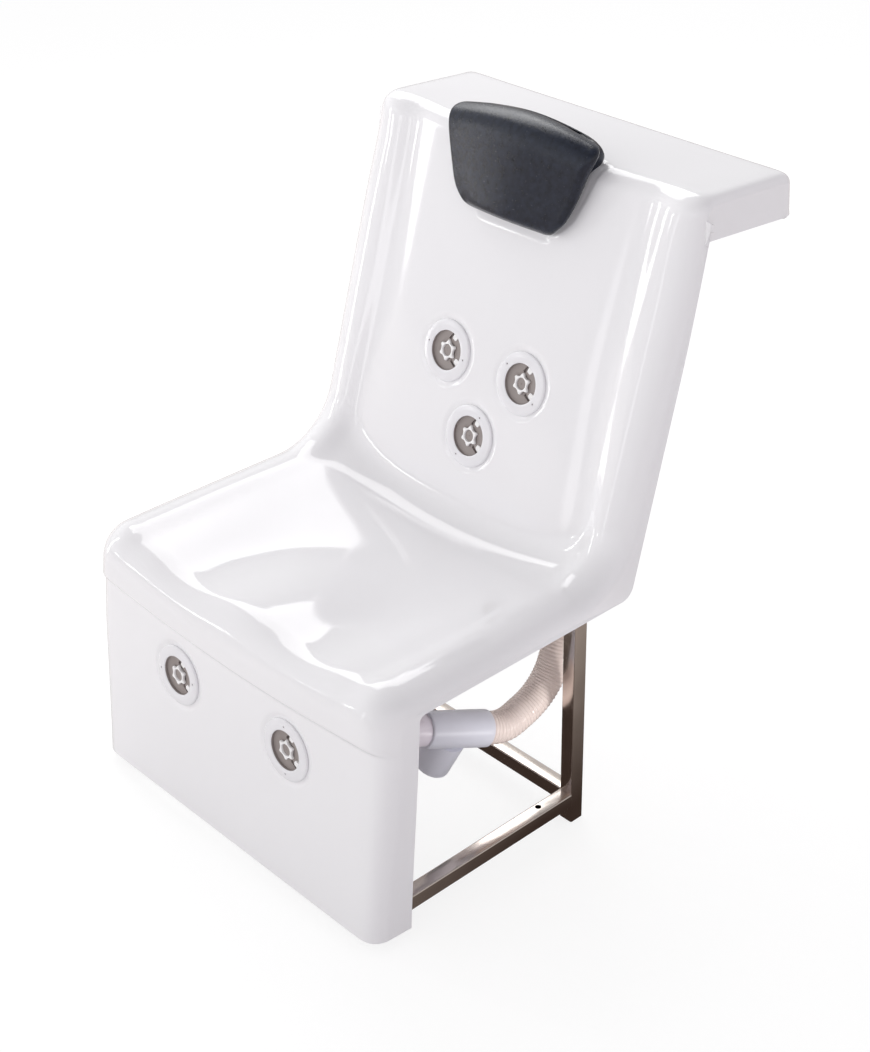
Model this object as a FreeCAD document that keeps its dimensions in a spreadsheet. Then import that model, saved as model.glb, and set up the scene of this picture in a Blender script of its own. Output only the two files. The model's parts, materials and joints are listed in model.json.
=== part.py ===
import FreeCAD, Part
import math
import os

Vector = FreeCAD.Vector
doc = FreeCAD.newDocument("pedicure_spa_chair")

# Driving dimensions, in millimetres and degrees. Heights are above the floor, depths run back from the
# apron's toe, and widths are half widths from the centre plane unless the note says otherwise.
DIMENSIONS = [
    ("overall_depth", 845, "toe of the apron to the back of the shelf"),
    ("wall", 6, "moulded shell wall"),
    ("apron_foot", 15, "apron's lower edge above the floor"),
    ("apron_lean", 0.09, "apron's rearward lean, run per rise"),
    ("rim_height", 423, "seat rim at the front"),
    ("rim_fall", 4, "drop of the rim from front to back"),
    ("hip_depth", 474.2, "toe to the corner of rim and bolster lines"),
    ("shoulder_depth", 635.7, "toe to the corner of bolster and shelf lines"),
    ("shoulder_height", 966.7, "corner of bolster and shelf lines"),
    ("shelf_fall", 13.5, "drop of the shelf from front to back"),
    ("lip_height", 64, "shelf's rear lip"),
    ("nose_radius", 56, "roll of the seat's front over the apron"),
    ("hip_radius", 110, "bend of the rims into the bolsters"),
    ("shoulder_radius", 36, "bend of the bolsters into the shelf"),
    ("lip_radius", 20, "bend of the shelf into its lip"),
        ("seat_half_width", 341, "seat and back"),
    ("foot_draw_in", 9, "apron at its lower edge, inside the seat's half width"),
    ("shelf_draw_in", 10, "shelf, inside the seat's half width"),
    ("side_flare", 3, "side flange's outward draft"),
    ("rim_roll", 50, "width of the rims' outer roll"),
    ("rim_roll_depth", 29, "depth of the rims' outer roll"),
    ("corner_roll", 28, "apron's upright corner"),
    ("shelf_roll", 15, "shelf's side edge"),
    ("nose_overhang", 8, "nose proud of the apron"),
    ("crease_below_rim", 84, "crease under the nose, below the rim"),
    ("rim_inner", 44, "width of the slope from rim crest to crease"),
    ("crease_draw_in", 101, "seat pan's crease, inside the seat's half width"),
    ("crease_drop", 10, "crease below the rim"),
    ("crease_set_back", 11, "crease behind the bolster line"),
    ("pan_front_drop", 19, "pan's centre at the nose, below the rim"),
    ("pan_rear_drop", 43, "pan's centre at the hip corner, below the rim"),
    ("pan_sag", 7, "extra dip of the pan's middle"),
    ("panel_set_back", 5, "back panel's centre behind the bolster line"),
    ("pan_hip_radius", 62, "bend of the pan into the back panel"),
    ("pommel_rise", 7, "rise between the thighs and dip under them"),
    ("pommel_pitch", 290, "centre of one thigh dip to the other"),
    ("apron_flange", 69, "depth of the apron's side flange at its foot"),
    ("apron_flange_top", 88, "toe to the flange's rear edge at the seat"),
    ("seat_flange_drop", 35, "lower edge of the seat's side flange, below the rim"),
    ("back_flange_foot", 509, "toe to the rear lower corner of the side flange"),
    ("back_flange_top", 648, "toe to the inner corner under the shelf"),
    ("shelf_flange_height", 903, "inner corner under the shelf"),
    ("tube", 25, "square tube, outside"),
    ("tube_wall", 1.5, "square tube, wall"),
    ("frame_draw_in", 21, "side frames' outer faces, inside the seat's half width"),
    ("front_leg_depth", 52, "toe to the front legs' front face"),
    ("rear_leg_depth", 418, "toe to the rear legs' front face"),
    ("lower_rail_height", 29, "underside of the lower rails"),
    ("upper_rail_drop", 43, "underside of the upper side rails, below the rim"),
    ("cross_rail_drop", 78, "underside of the rear cross rail, below the rim"),
    ("front_cross_depth", 95, "toe to the front cross rail"),
    ("fixing_hole", 10, "diameter of the floor fixing holes"),
    ("fixing_hole_depth", 361, "toe to the fixing holes"),
    ("front_leg_drop", 43, "top of the front legs, below the rim"),
    ("rear_leg_drop", 23, "top of the rear legs, below the rim"),
    ("top_rail_end", 530, "toe to the rear end of the upper side rails"),
    ("post_set_back", 15, "back posts' front face behind the bolster line"),
    ("post_foot_drop", 39, "foot of the back posts, below the rim"),
    ("post_top_drop", 22.7, "top of the back posts, below the shoulder"),
    ("arm_drop", 50.7, "underside of the shelf arms, below the shoulder"),
    ("arm_end", 30, "rear end of the shelf arms, in front of the shelf's back"),
    ("back_rail_low", 700, "lower rail across the back posts"),
    ("back_rail_high", 880, "upper rail across the back posts"),
    ("pad_width", 22, "bonded pads"),
    ("pad_length", 44, "bonded pads"),
    ("cap_height", 9, "plug in a leg's lower end"),
    ("jet_spread_back", 80.8, "upper back jets from the centre plane"),
    ("jet_height_back", 633, "upper back jets"),
    ("jet_height_low", 525, "lower back jet"),
    ("jet_draw_in_front", 212.5, "apron jets, inside the seat's half width"),
    ("jet_drop_front", 174, "apron jets, below the rim"),
    ("dish_radius", 55, "moulded dish round a jet"),
    ("dish_depth", 2, "moulded dish"),
    ("bezel_radius", 49, "jet bezel, outside"),
    ("bezel_bore", 30.5, "jet bezel, inside"),
    ("bezel_height", 6, "jet bezel above its seat"),
    ("socket_radius", 32, "jet socket's barrel"),
    ("socket_wall", 2.5, "jet socket's barrel wall"),
    ("socket_length", 52, "jet socket behind the dish"),
    ("socket_flange", 44, "jet socket's flange radius"),
    ("gasket_thickness", 1.5, "gasket under the flange"),
    ("nut_radius", 42, "lock nut"),
    ("nut_height", 11, "lock nut"),
    ("nozzle_radius", 16, "star nozzle at the lobes"),
    ("nozzle_bore", 9, "star nozzle's hole radius"),
    ("nozzle_lobes", 8, "lobes of the star nozzle"),
    ("hub_radius", 11, "nozzle's journal and its hub"),
    ("inlet_depth", 39, "back jets' inlets behind the moulded face"),
    ("hose_radius", 24.1, "front pipe and hose cuffs, outside"),
    ("hose_wall", 3.2, "front pipe, wall"),
    ("hose_bore", 19.5, "ribbed hose, inside"),
    ("rib_crest", 25.6, "ribbed hose at its ribs"),
    ("rib_valley", 24.4, "ribbed hose between its ribs"),
    ("rib_pitch", 5.9, "rib to rib"),
    ("socket_outer", 28.6, "tee and elbow sockets, outside"),
    ("socket_depth", 28, "tee's sockets"),
    ("branch_length", 80, "tee's branch from the run's axis"),
    ("barb_length", 30, "barbs for the feed hoses"),
    ("pipe_draw_in", 101, "tee's rear mouth and the elbow, inside the seat's half width"),
    ("front_pipe_depth", 146.5, "toe to the front pipe's axis"),
    ("manifold_drop", 8, "manifold behind the back, below the rim"),
    ("manifold_radius", 21, "manifold, outside"),
    ("feed_radius", 12.5, "feed hose, outside"),
    ("feed_bore", 9.5, "feed hose, inside"),
    ("pillow_crown", 9, "extra thickness in the pillow's middle"),
    ("peg_radius", 6, "pillow's push-in pegs"),
    ("peg_height", 906, "pillow's pegs"),
    ("peg_spread", 62, "pillow's pegs from the centre plane"),
    ("running_gap", 0.05, "radial clearance of what turns"),
    ("seat_gap", 0.3, "clearance of what rests on a curved face"),
]

sheet = doc.addObject("Spreadsheet::Sheet", "Sizes")
for row, (alias, number, note) in enumerate(DIMENSIONS, start=1):
    sheet.set("A%d" % row, note)
    sheet.set("B%d" % row, str(number))
    sheet.setAlias("B%d" % row, alias)
doc.recompute()


class Size:
    """A number together with the sheet expression that it comes from."""

    def __init__(self, number, text):
        self.number = float(number)
        self.text = text

    @staticmethod
    def of(other):
        return other if isinstance(other, Size) else Size(other, "%.6f" % other)

    def __add__(self, other):
        other = Size.of(other)
        return Size(self.number + other.number, "(%s + %s)" % (self.text, other.text))

    def __sub__(self, other):
        other = Size.of(other)
        return Size(self.number - other.number, "(%s - %s)" % (self.text, other.text))

    def __mul__(self, factor):
        factor = Size.of(factor)
        return Size(self.number * factor.number, "(%s * %s)" % (self.text, factor.text))

    def __neg__(self):
        return Size(-self.number, "(-1 * %s)" % self.text)


def cell(alias):
    return Size(sheet.get(alias), "Sizes." + alias)


def mm(alias):
    return float(sheet.get(alias))


TOE = -mm("overall_depth") / 2
HALF = mm("seat_half_width")
RIM = mm("rim_height")
JET_SPREAD = HALF - mm("jet_draw_in_front")
JET_HEIGHT = RIM - mm("jet_drop_front")
parts = {}


def keep(name, item):
    item.Label = name
    parts[name] = item
    return item


def feature(name, shape):
    item = doc.addObject("Part::Feature", name)
    item.Shape = shape
    return keep(name, item)


# The shell's paths run up the apron, back over the seat, up the back, over the shelf and down its lip.
# Each is a chain of straight legs and tangent arcs in the upright plane, sampled at matching stations.
LEG_STEPS = [
    [0, 0.83, 0.9, 0.945, 1],
    [0, 0.18, 0.5, 0.82, 1],
    [0, 0.2, 0.5, 0.8, 1],
    [0, 0.4, 1],
    [0, 1],
]
ARC_STEPS = [6, 7, 4, 2]


def rounded_path(corners, radii):
    """Stations (depth, height, unit direction, place along the chain) on legs joined by tangent arcs."""
    points = [Vector(0, y, z) for y, z in corners]
    starts, ends = [points[0]], []
    arcs = []
    for before, corner, after, radius in zip(points, points[1:], points[2:], radii):
        inward = (corner - before).normalize()
        outward = (after - corner).normalize()
        turn = inward.getAngle(outward)
        reach = radius * math.tan(turn / 2)
        ends.append(corner - inward * reach)
        starts.append(corner + outward * reach)
        side = (outward - inward).normalize()
        centre = corner + side * (radius / math.cos(turn / 2))
        arcs.append((centre, inward, outward, turn))
    ends.append(points[-1])
    stations = []
    for leg, (start, end) in enumerate(zip(starts, ends)):
        direction = (end - start).normalize()
        steps = LEG_STEPS[leg]
        if leg > 0:
            steps = steps[1:]
        for step in steps:
            place = leg + 0.1 + 0.8 * step if 0 < leg < 4 else (0.9 * step if leg == 0 else 4.1 + 0.9 * step)
            stations.append((start + (end - start) * step, direction, place))
        if leg < len(arcs):
            centre, inward, outward, turn = arcs[leg]
            spoke = end - centre
            axis = inward.cross(outward)
            for count in range(1, ARC_STEPS[leg] + 1):
                part = count / ARC_STEPS[leg]
                swing = FreeCAD.Rotation(axis, math.degrees(turn * part))
                place = leg + 0.9 + 0.2 * part
                stations.append((centre + swing.multVec(spoke), swing.multVec(inward), place))
    return stations


def smooth(value):
    value = min(max(value, 0.0), 1.0)
    return value * value * (3 - 2 * value)


def along(place, knots):
    """A value that passes smoothly through (place, value) knots."""
    if place <= knots[0][0]:
        return knots[0][1]
    for (p0, v0), (p1, v1) in zip(knots, knots[1:]):
        if place <= p1:
            return v0 + (v1 - v0) * smooth((place - p0) / (p1 - p0))
    return knots[-1][1]


def run_at(height):
    return TOE + mm("apron_lean") * (height - mm("apron_foot"))


FOOT = mm("apron_foot") - 12
HIP = (TOE + mm("hip_depth"), mm("rim_height") - mm("rim_fall"))
SHOULDER = (TOE + mm("shoulder_depth"), mm("shoulder_height"))
LIP_TOP = (TOE + mm("overall_depth") - 5, mm("shoulder_height") - mm("shelf_fall"))
LIP_FOOT = (TOE + mm("overall_depth"), LIP_TOP[1] - mm("lip_height"))
RAKE = math.atan2(SHOULDER[0] - HIP[0], SHOULDER[1] - HIP[1])
UP = Vector(0, math.sin(RAKE), math.cos(RAKE))
BEHIND = Vector(0, math.cos(RAKE), -math.sin(RAKE))
APRON_LEAN = math.atan(mm("apron_lean"))
APRON_IN = Vector(0, math.cos(APRON_LEAN), -math.sin(APRON_LEAN))


def behind(point, distance):
    return (point[0] + BEHIND.y * distance, point[1] + BEHIND.z * distance)


def on_rake(point, height):
    """The point at a height on the line through a point, parallel to the back."""
    return (point[0] + (height - point[1]) * math.tan(RAKE), height)


def inner_path(nose_height, hip_height, set_back, hip_radius, drop):
    """A path inside the rims: lower over the seat, set back in the back, one with the shelf at its rear."""
    line = behind(HIP, set_back)
    corners = [
        (run_at(FOOT), FOOT),
        (run_at(nose_height), nose_height),
        on_rake(line, hip_height),
        on_rake(line, SHOULDER[1] - drop),
        LIP_TOP,
        LIP_FOOT,
    ]
    radii = [mm("nose_radius") - 6, hip_radius, mm("shoulder_radius") - 4, mm("lip_radius")]
    return rounded_path(corners, radii)


rim_path = rounded_path(
    [(run_at(FOOT), FOOT), (run_at(mm("rim_height")), mm("rim_height")), HIP, SHOULDER, LIP_TOP, LIP_FOOT],
    [mm("nose_radius"), mm("hip_radius"), mm("shoulder_radius"), mm("lip_radius")],
)
crease_path = inner_path(
    mm("rim_height") - mm("crease_drop"),
    HIP[1] - mm("crease_drop"),
    mm("crease_set_back"),
    mm("hip_radius") - 25,
    mm("crease_drop") * 0.5,
)
centre_path = inner_path(
    RIM - mm("pan_front_drop"),
    RIM - mm("pan_rear_drop"),
    mm("panel_set_back"),
    mm("pan_hip_radius"),
    mm("crease_drop") * 0.6,
)


def flange_edge():
    """The side flange's trimmed edge, with as many stations as the shell's paths."""
    shelf_slope = mm("shelf_fall") / (LIP_TOP[0] - SHOULDER[0])
    foot_end = TOE + mm("apron_flange")
    inner_top = mm("shelf_flange_height")
    rear = LIP_FOOT[0] - mm("shelf_roll") - 5
    corners = [
        (foot_end, FOOT),
        (TOE + mm("apron_flange_top"), RIM - mm("seat_flange_drop")),
        (TOE + mm("back_flange_foot"), RIM - mm("seat_flange_drop") - 1),
        (TOE + mm("back_flange_top"), inner_top),
        (rear, inner_top - shelf_slope * (rear - TOE - mm("back_flange_top"))),
        (rear + 0.1, LIP_FOOT[1]),
    ]
    path = rounded_path(corners[:5] + [(rear, corners[4][1] - 1)], [10, 24, 9, 0.2])
    tail = ARC_STEPS[3] + len(LEG_STEPS[4]) - 1
    shelf = len(LEG_STEPS[3]) - 1
    keep_count = len(path) - tail - shelf
    start = path[keep_count - 1][0]
    finish = Vector(0, rear, LIP_FOOT[1])
    edge = [point for point, direction, place in path[:keep_count]]
    for count in range(1, shelf + tail + 1):
        edge.append(start + (finish - start) * (count / (shelf + tail)))
    return edge


edge_path = flange_edge()

WIDTH_KNOTS = [
    (0.0, HALF - mm("foot_draw_in")),
    (0.9, HALF),
    (2.6, HALF),
    (3.2, HALF - mm("shelf_draw_in")),
]
ROLL_KNOTS = [
    (0.0, mm("corner_roll")),
    (0.6, mm("corner_roll")),
    (1.1, mm("rim_roll")),
    (2.8, mm("rim_roll")),
    (3.2, mm("shelf_roll")),
]
DEPTH_KNOTS = [
    (0.0, mm("corner_roll")),
    (0.9, mm("rim_roll_depth") + 4),
    (1.3, mm("rim_roll_depth")),
    (2.8, mm("rim_roll_depth")),
    (3.1, mm("shelf_roll")),
]
CREASE = HALF - mm("crease_draw_in")
CREASE_KNOTS = [
    (0.9, CREASE + 2),
    (1.5, CREASE + 6),
    (1.85, CREASE - 4),
    (2.05, CREASE + 8),
    (2.5, CREASE - 10),
    (2.95, CREASE),
]
BOWL_KNOTS = [(1.2, 2.0), (1.9, 2.2), (2.3, 4.0), (4.0, 4.0)]
SAG_KNOTS = [(1.1, 0.0), (1.5, 1.0), (1.9, 0.0)]
POMMEL_KNOTS = [(0.93, 0.0), (1.1, 1.0), (1.25, 1.0), (1.7, 0.0)]

BOWL_STEPS = [0, 0.3, 0.58, 0.83, 1]
SLOPE_STEPS = [0.33, 0.67, 1]
ROLL_STEPS = 4


def inward_of(direction):
    return Vector(0, direction.z, -direction.y)


def section(index):
    """Points across the shell at one station, from the centre plane to the flange's edge."""
    rim, direction, place = rim_path[index]
    crease = crease_path[index][0]
    centre = centre_path[index][0]
    inward = inward_of(direction)
    half_width = along(place, WIDTH_KNOTS)
    roll_width = along(place, ROLL_KNOTS)
    roll_depth = along(place, DEPTH_KNOTS)
    crest = half_width - roll_width
    slope = mm("rim_inner")
    crease_x = min(along(place, CREASE_KNOTS), crest - slope * 0.9)
    power = along(place, BOWL_KNOTS)
    pommel = along(place, POMMEL_KNOTS) * mm("pommel_rise")
    sag = along(place, SAG_KNOTS) * mm("pan_sag")
    over = smooth((rim.z - RIM + mm("crease_below_rim") + 5) / 10) if place < 1 else 1.0
    over = over * (1 - smooth((place - 0.92) / 0.2)) * mm("nose_overhang")
    points = []
    across = [crease_x * step for step in BOWL_STEPS]
    across += [crease_x + (crest - crease_x) * step for step in SLOPE_STEPS]
    for x in across:
        if x >= crease_x:
            mix = smooth((x - crease_x) / (crest - crease_x))
            base = crease + (rim - crease) * mix
        else:
            share = (x / crease_x) ** power
            base = centre + (crease - centre) * share
            wave = math.cos(2 * math.pi * x / mm("pommel_pitch")) * (1 - (x / crease_x) ** 4)
            base = base + inward * (sag * (1 - (x / crease_x) ** 2) - pommel * wave)
        points.append(Vector(x, base.y, base.z) - inward * over)
    for step in range(1, ROLL_STEPS + 1):
        angle = math.pi / 2 * step / ROLL_STEPS
        x = crest + roll_width * math.sin(angle)
        depth = roll_depth * (1 - math.cos(angle)) - over * math.cos(angle) ** 2
        points.append(Vector(x, rim.y, rim.z) + inward * depth)
    edge = edge_path[index]
    points.append(Vector(half_width + mm("side_flare"), edge.y, edge.z))
    return points


def mirrored_rows():
    rows = []
    for index in range(len(rim_path)):
        half = section(index)
        left = [Vector(-point.x, point.y, point.z) for point in reversed(half[1:])]
        rows.append(left + half)
    return rows


def offset_rows(rows, distance):
    """The grid moved to the hidden side along its own normals."""
    moved = []
    for i, row in enumerate(rows):
        line = []
        for j, point in enumerate(row):
            ahead = rows[min(i + 1, len(rows) - 1)][j] - rows[max(i - 1, 0)][j]
            across = row[min(j + 1, len(row) - 1)] - row[max(j - 1, 0)]
            normal = across.cross(ahead).normalize()
            line.append(point - normal * distance)
        moved.append(line)
    return moved


def flat_face(corners):
    return Part.Face(Part.makePolygon(corners + corners[:1]))


def panel(a, b, c, d):
    """One flat face round four corners, or two where they don't lie in a plane."""
    normal = (b - a).cross(c - a)
    if normal.Length > 1e-6 and abs((d - a).dot(normal.normalize())) < 1e-6:
        return [flat_face([a, b, c, d])]
    if (a - c).Length < (b - d).Length:
        return [flat_face([a, b, c]), flat_face([a, c, d])]
    return [flat_face([a, b, d]), flat_face([b, c, d])]


def panels_between(first, second):
    faces = []
    for k in range(len(first) - 1):
        faces += panel(first[k], first[k + 1], second[k + 1], second[k])
    return faces


def closed_solid(faces):
    sewn = Part.Compound(faces)
    sewn.sewShape(0.001)
    solid = Part.makeSolid(sewn.Shells[0])
    if solid.Volume < 0:
        solid.reverse()
    return solid


def skin_solid(outer_rows, inner_rows):
    """A closed wall between two grids of points."""
    faces = []
    for rows in (outer_rows, inner_rows):
        for here, there in zip(rows, rows[1:]):
            faces += panels_between(here, there)
    for end in (0, -1):
        faces += panels_between(outer_rows[end], inner_rows[end])
        faces += panels_between([row[end] for row in outer_rows], [row[end] for row in inner_rows])
    return closed_solid(faces)


def ringed_solid(rings, capped=True):
    """A solid through rings of corners: capped at its ends, or closed on its first ring."""
    faces = []
    following = rings[1:] if capped else rings[1:] + rings[:1]
    for here, there in zip(rings, following):
        faces += panels_between(here + here[:1], there + there[:1])
    if capped:
        faces += [flat_face(rings[0]), flat_face(rings[-1])]
    return closed_solid(faces)


outer_rows = mirrored_rows()
skin = skin_solid(outer_rows, offset_rows(outer_rows, mm("wall")))


def line_depth(height):
    """Depth of the bolster line at a height."""
    return HIP[0] + (height - HIP[1]) * math.tan(RAKE)


def on_back(x, height, offset=0.0):
    """A point at a height on the bolster line's plane, moved along the line's normal towards the rear."""
    return Vector(x, line_depth(height), height) + BEHIND * offset


def on_apron(x, height, offset=0.0):
    return Vector(x, run_at(height), height) + APRON_IN * offset


def cylinder(radius, base, direction, length):
    return Part.makeCylinder(radius, length, base, direction)


# Round forms that repeat often are many-sided. Journals have their corners on the radius, bores their flats.
def ring_points(centre, direction, steady, radius, sides, flats=False):
    """Corners round a centre, the first one near the steady direction."""
    upward = direction.cross(steady).normalize()
    across = upward.cross(direction)
    reach = radius / math.cos(math.pi / sides) if flats else radius
    points = []
    for k in range(sides):
        angle = 2 * math.pi * k / sides
        points.append(centre + across * (reach * math.cos(angle)) + upward * (reach * math.sin(angle)))
    return points


def steady_for(direction):
    return Vector(1, 0, 0) if abs(direction.x) < 0.9 else Vector(0, 0, 1)


def prism(radius, base, direction, length, sides, flats=False):
    corners = ring_points(base, direction, steady_for(direction), radius, sides, flats)
    return flat_face(corners).extrude(direction * length)


def washer(outer, bore, base, direction, length, sides):
    return prism(outer, base, direction, length, sides).cut(prism(bore, base, direction, length, sides, True))


def turned(profile, sides, bores=()):
    """A many-sided solid about Z from radius and height pairs; the listed radii are bores."""
    rows = []
    for radius, height in profile:
        centre = Vector(0, 0, height)
        rows.append(ring_points(centre, Vector(0, 0, 1), Vector(1, 0, 0), radius, sides, radius in bores))
    return ringed_solid(rows, False)


# Where the five jets sit: a point on the moulded face and the way inwards.
JETS = [
    ("jet_back_left", on_back(-mm("jet_spread_back"), mm("jet_height_back"), mm("panel_set_back")), BEHIND),
    ("jet_back_right", on_back(mm("jet_spread_back"), mm("jet_height_back"), mm("panel_set_back")), BEHIND),
    ("jet_back_low", on_back(0, mm("jet_height_low"), mm("panel_set_back")), BEHIND),
    ("jet_front_left", on_apron(-JET_SPREAD, JET_HEIGHT), APRON_IN),
    ("jet_front_right", on_apron(JET_SPREAD, JET_HEIGHT), APRON_IN),
]
cutters = [Part.makeBox(900, 1200, 60, Vector(-450, -600, mm("apron_foot") - 60))]
for name, seat, inward in JETS:
    start = seat - inward * 18
    cutters.append(cylinder(mm("dish_radius"), start, inward, 18 + mm("dish_depth")))
    cutters.append(cylinder(mm("socket_radius") + mm("socket_wall") + 0.3, start, inward, 60))
PEGS = [on_back(x, mm("peg_height"), mm("panel_set_back")) for x in (-mm("peg_spread"), mm("peg_spread"))]
for peg in PEGS:
    cutters.append(prism(mm("peg_radius") + mm("running_gap"), peg - BEHIND * 20, BEHIND, 50, 12, True))
shell = skin.cut(cutters)
shell = max(shell.Solids, key=lambda solid: solid.Volume)
feature("seat_shell", shell)

# Pillow: sections square to the back, from its lower edge to its rolled top. Each row gives the height, the
# half width, how far its front edge stands proud of the panel, how far its rear edge reaches behind it, and
# how far that rear edge is drawn in.
PILLOW = [
    (852.0, 78, 14, 4, 22),
    (855.0, 88, 20, 4, 22),
    (862.0, 98, 25, 4, 22),
    (880.0, 114, 28, 4, 22),
    (912.0, 128, 31, 4, 22),
    (950.0, 138, 36, 12, 22),
    (970.0, 143, 37, 24, 22),
    (984.0, 147, 28, 28, 27),
    (992.0, 144, 16, 28, 32),
    (998.0, 128, 5, 28, 34),
    (1002.0, 100, -6, 24, 34),
]
EDGE_STEPS = [(20, 0.0), (7, 0.32), (0, 0.68), (5, 0.93)]
CROWN_STEPS = [1.0, 0.66, 0.33, 0.0]


def pillow_section(height, half_width, proud, buried, draw_in):
    """A cushion's section: drawn in at its back, widest near its front and crowned in the middle."""
    face = half_width - 16
    crown = mm("pillow_crown") * min(1.0, max(proud, 0) / 25.0)
    root = max(0.0, 8.0 - proud)
    half = [(half_width - draw_in, buried)]
    half += [(half_width - draw, root - (root + proud) * share) for draw, share in EDGE_STEPS]
    half += [(face * step, -proud - crown * (1 - step * step)) for step in CROWN_STEPS]
    outline = half + [(-x, depth) for x, depth in reversed(half[:-1])]
    return [on_back(x, height, mm("panel_set_back") + depth) for x, depth in outline]


raw_pillow = ringed_solid([pillow_section(*row) for row in PILLOW])
clear_rows = offset_rows(outer_rows, -mm("seat_gap") - 0.2)
deep_rows = offset_rows(outer_rows, 14)
first_row = next(k for k, station in enumerate(rim_path) if station[2] > 2.3)
bed = skin_solid([row[4:-4] for row in clear_rows[first_row:]], [row[4:-4] for row in deep_rows[first_row:]])
pillow = raw_pillow.cut(bed)
pillow = max(pillow.Solids, key=lambda solid: solid.Volume)
pegs = []
for peg in PEGS:
    start = peg - BEHIND * 12
    shank = prism(mm("peg_radius"), start, BEHIND, 30, 12)
    pegs.append(shank.fuse(prism(mm("peg_radius") + 5, start, BEHIND, 3, 12)).removeSplitter())
feature("head_pillow", pillow.cut(pegs))
feature("pillow_pegs", Part.Compound(pegs))


# Jets, each along its own axis: the height above the moulded face is negative behind it.
def jet_frame(seat, inward):
    """Placement with its Z axis out of the shell and its X axis across the chair."""
    out = inward * -1
    side = Vector(1, 0, 0)
    up = out.cross(side)
    matrix = FreeCAD.Matrix(
        side.x, up.x, out.x, seat.x, side.y, up.y, out.y, seat.y, side.z, up.z, out.z, seat.z, 0, 0, 0, 1
    )
    return FreeCAD.Placement(matrix)


SIDES = 26
OUT = Vector(0, 0, 1)


def bezel_form():
    """The turning ring: a domed face with a skirt over the socket's flange and a sleeve in its bore."""
    outer, bore, top = mm("bezel_radius"), mm("bezel_bore"), mm("bezel_height") - mm("dish_depth")
    sleeve = mm("socket_radius") - mm("running_gap")
    return turned([
        (bore, -6.5), (sleeve, -6.5), (sleeve, 1.7), (outer - 2.2, 1.7), (outer - 2.2, -1.7), (outer, -1.7),
        (outer, 0.8), (outer - 5.0, top), (bore + 2.5, top),
    ], SIDES)


def socket_form(rear_inlet):
    """Flanged barrel with its floor, a hub for the nozzle and a barbed inlet below or behind."""
    bore, outer = mm("socket_radius"), mm("socket_radius") + mm("socket_wall") - 0.5
    flange, front = mm("socket_flange"), mm("gasket_thickness") - mm("dish_depth")
    end, hub = -mm("socket_length"), mm("hub_radius")
    body = turned([
        (hub, -35.0), (hub, end), (outer, end), (outer, front), (flange, front), (flange, 1.5), (bore, 1.5),
        (bore, -10.0), (hub + 2.5, -18.0), (hub, -18.0),
    ], 20, (bore, hub))
    body = body.fuse(prism(hub + 1, Vector(0, 0, end), OUT, 14, 20))
    if rear_inlet:
        start, way = Vector(0, 0, end), OUT * -1
    else:
        start, way = Vector(0, -outer + 1.5, -mm("inlet_depth")), Vector(0, -1, 0)
    body = body.fuse(prism(mm("feed_bore"), start, way, mm("barb_length"), 12))
    return body.cut(prism(mm("feed_bore") - 3, start - way * 22, way, 60, 12))


def star_ring(size, height):
    """A closed outline of lobes."""
    lobes = int(mm("nozzle_lobes"))
    reach = mm("nozzle_radius") * size
    points = []
    for k in range(lobes):
        for turn, share in ((-0.5, 0.8), (-0.2, 0.98), (0.2, 0.98)):
            angle = 2 * math.pi * (k + turn) / lobes
            points.append(Vector(reach * share * math.cos(angle), reach * share * math.sin(angle), height))
    return points


def nozzle_form():
    """The spinning star: a lobed head on a hollow journal."""
    bore = mm("nozzle_bore")
    star = ringed_solid([star_ring(0.94, -16.0), star_ring(1.0, -7.0), star_ring(0.9, -4.6)])
    journal = prism(mm("hub_radius") - mm("running_gap"), Vector(0, 0, -34.5), OUT, 20, 16)
    return star.fuse(journal).cut(prism(bore, Vector(0, 0, -40), OUT, 50, 16))


def nut_form():
    bore, outer, height = mm("socket_radius") + mm("socket_wall") - 0.45, mm("nut_radius"), mm("nut_height")
    base = Vector(0, 0, -mm("wall") - height - 1)
    return prism(outer, base, OUT, height, 12).cut(prism(bore, base, OUT, height, 16, True))


gasket_form = washer(
    mm("socket_flange") + 1,
    mm("socket_radius") + mm("socket_wall"),
    Vector(0, 0, -mm("dish_depth")),
    OUT,
    mm("gasket_thickness"),
    16,
)


def placed(form, seat, inward):
    shape = form.copy()
    shape.Placement = jet_frame(seat, inward).multiply(shape.Placement)
    return shape


side_inlet, rear_inlet = socket_form(False), socket_form(True)
bezel, nozzle, nut = bezel_form(), nozzle_form(), nut_form()
for name, seat, inward in JETS:
    feature(name + "_bezel", placed(bezel, seat, inward))
    feature(name + "_nozzle", placed(nozzle, seat, inward))
    feature(name + "_socket", placed(side_inlet if inward is BEHIND else rear_inlet, seat, inward))
feature("jet_gaskets", Part.Compound([placed(gasket_form, seat, inward) for name, seat, inward in JETS]))
feature("jet_lock_nuts", Part.Compound([placed(nut, seat, inward) for name, seat, inward in JETS]))


# Welded frame of square tube. Each tube is a box less its inner box.
def tube(name, low, high, axis):
    """A tube from corner sizes low to high, open along one axis."""
    spans = [b - a for a, b in zip(low, high)]
    outer = doc.addObject("Part::Box", name + "_outside")
    inner = doc.addObject("Part::Box", name + "_inside")
    skin_size = cell("tube_wall")
    for k, key in enumerate("xyz"):
        side = ("Length", "Width", "Height")[k]
        outer.setExpression(side, spans[k].text)
        outer.setExpression("Placement.Base." + key, low[k].text)
        if k == axis:
            inner.setExpression(side, spans[k].text)
            inner.setExpression("Placement.Base." + key, low[k].text)
        else:
            inner.setExpression(side, (spans[k] - skin_size * 2).text)
            inner.setExpression("Placement.Base." + key, (low[k] + skin_size).text)
    cut = doc.addObject("Part::Cut", name)
    cut.Base = outer
    cut.Tool = inner
    return keep(name, cut)


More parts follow.
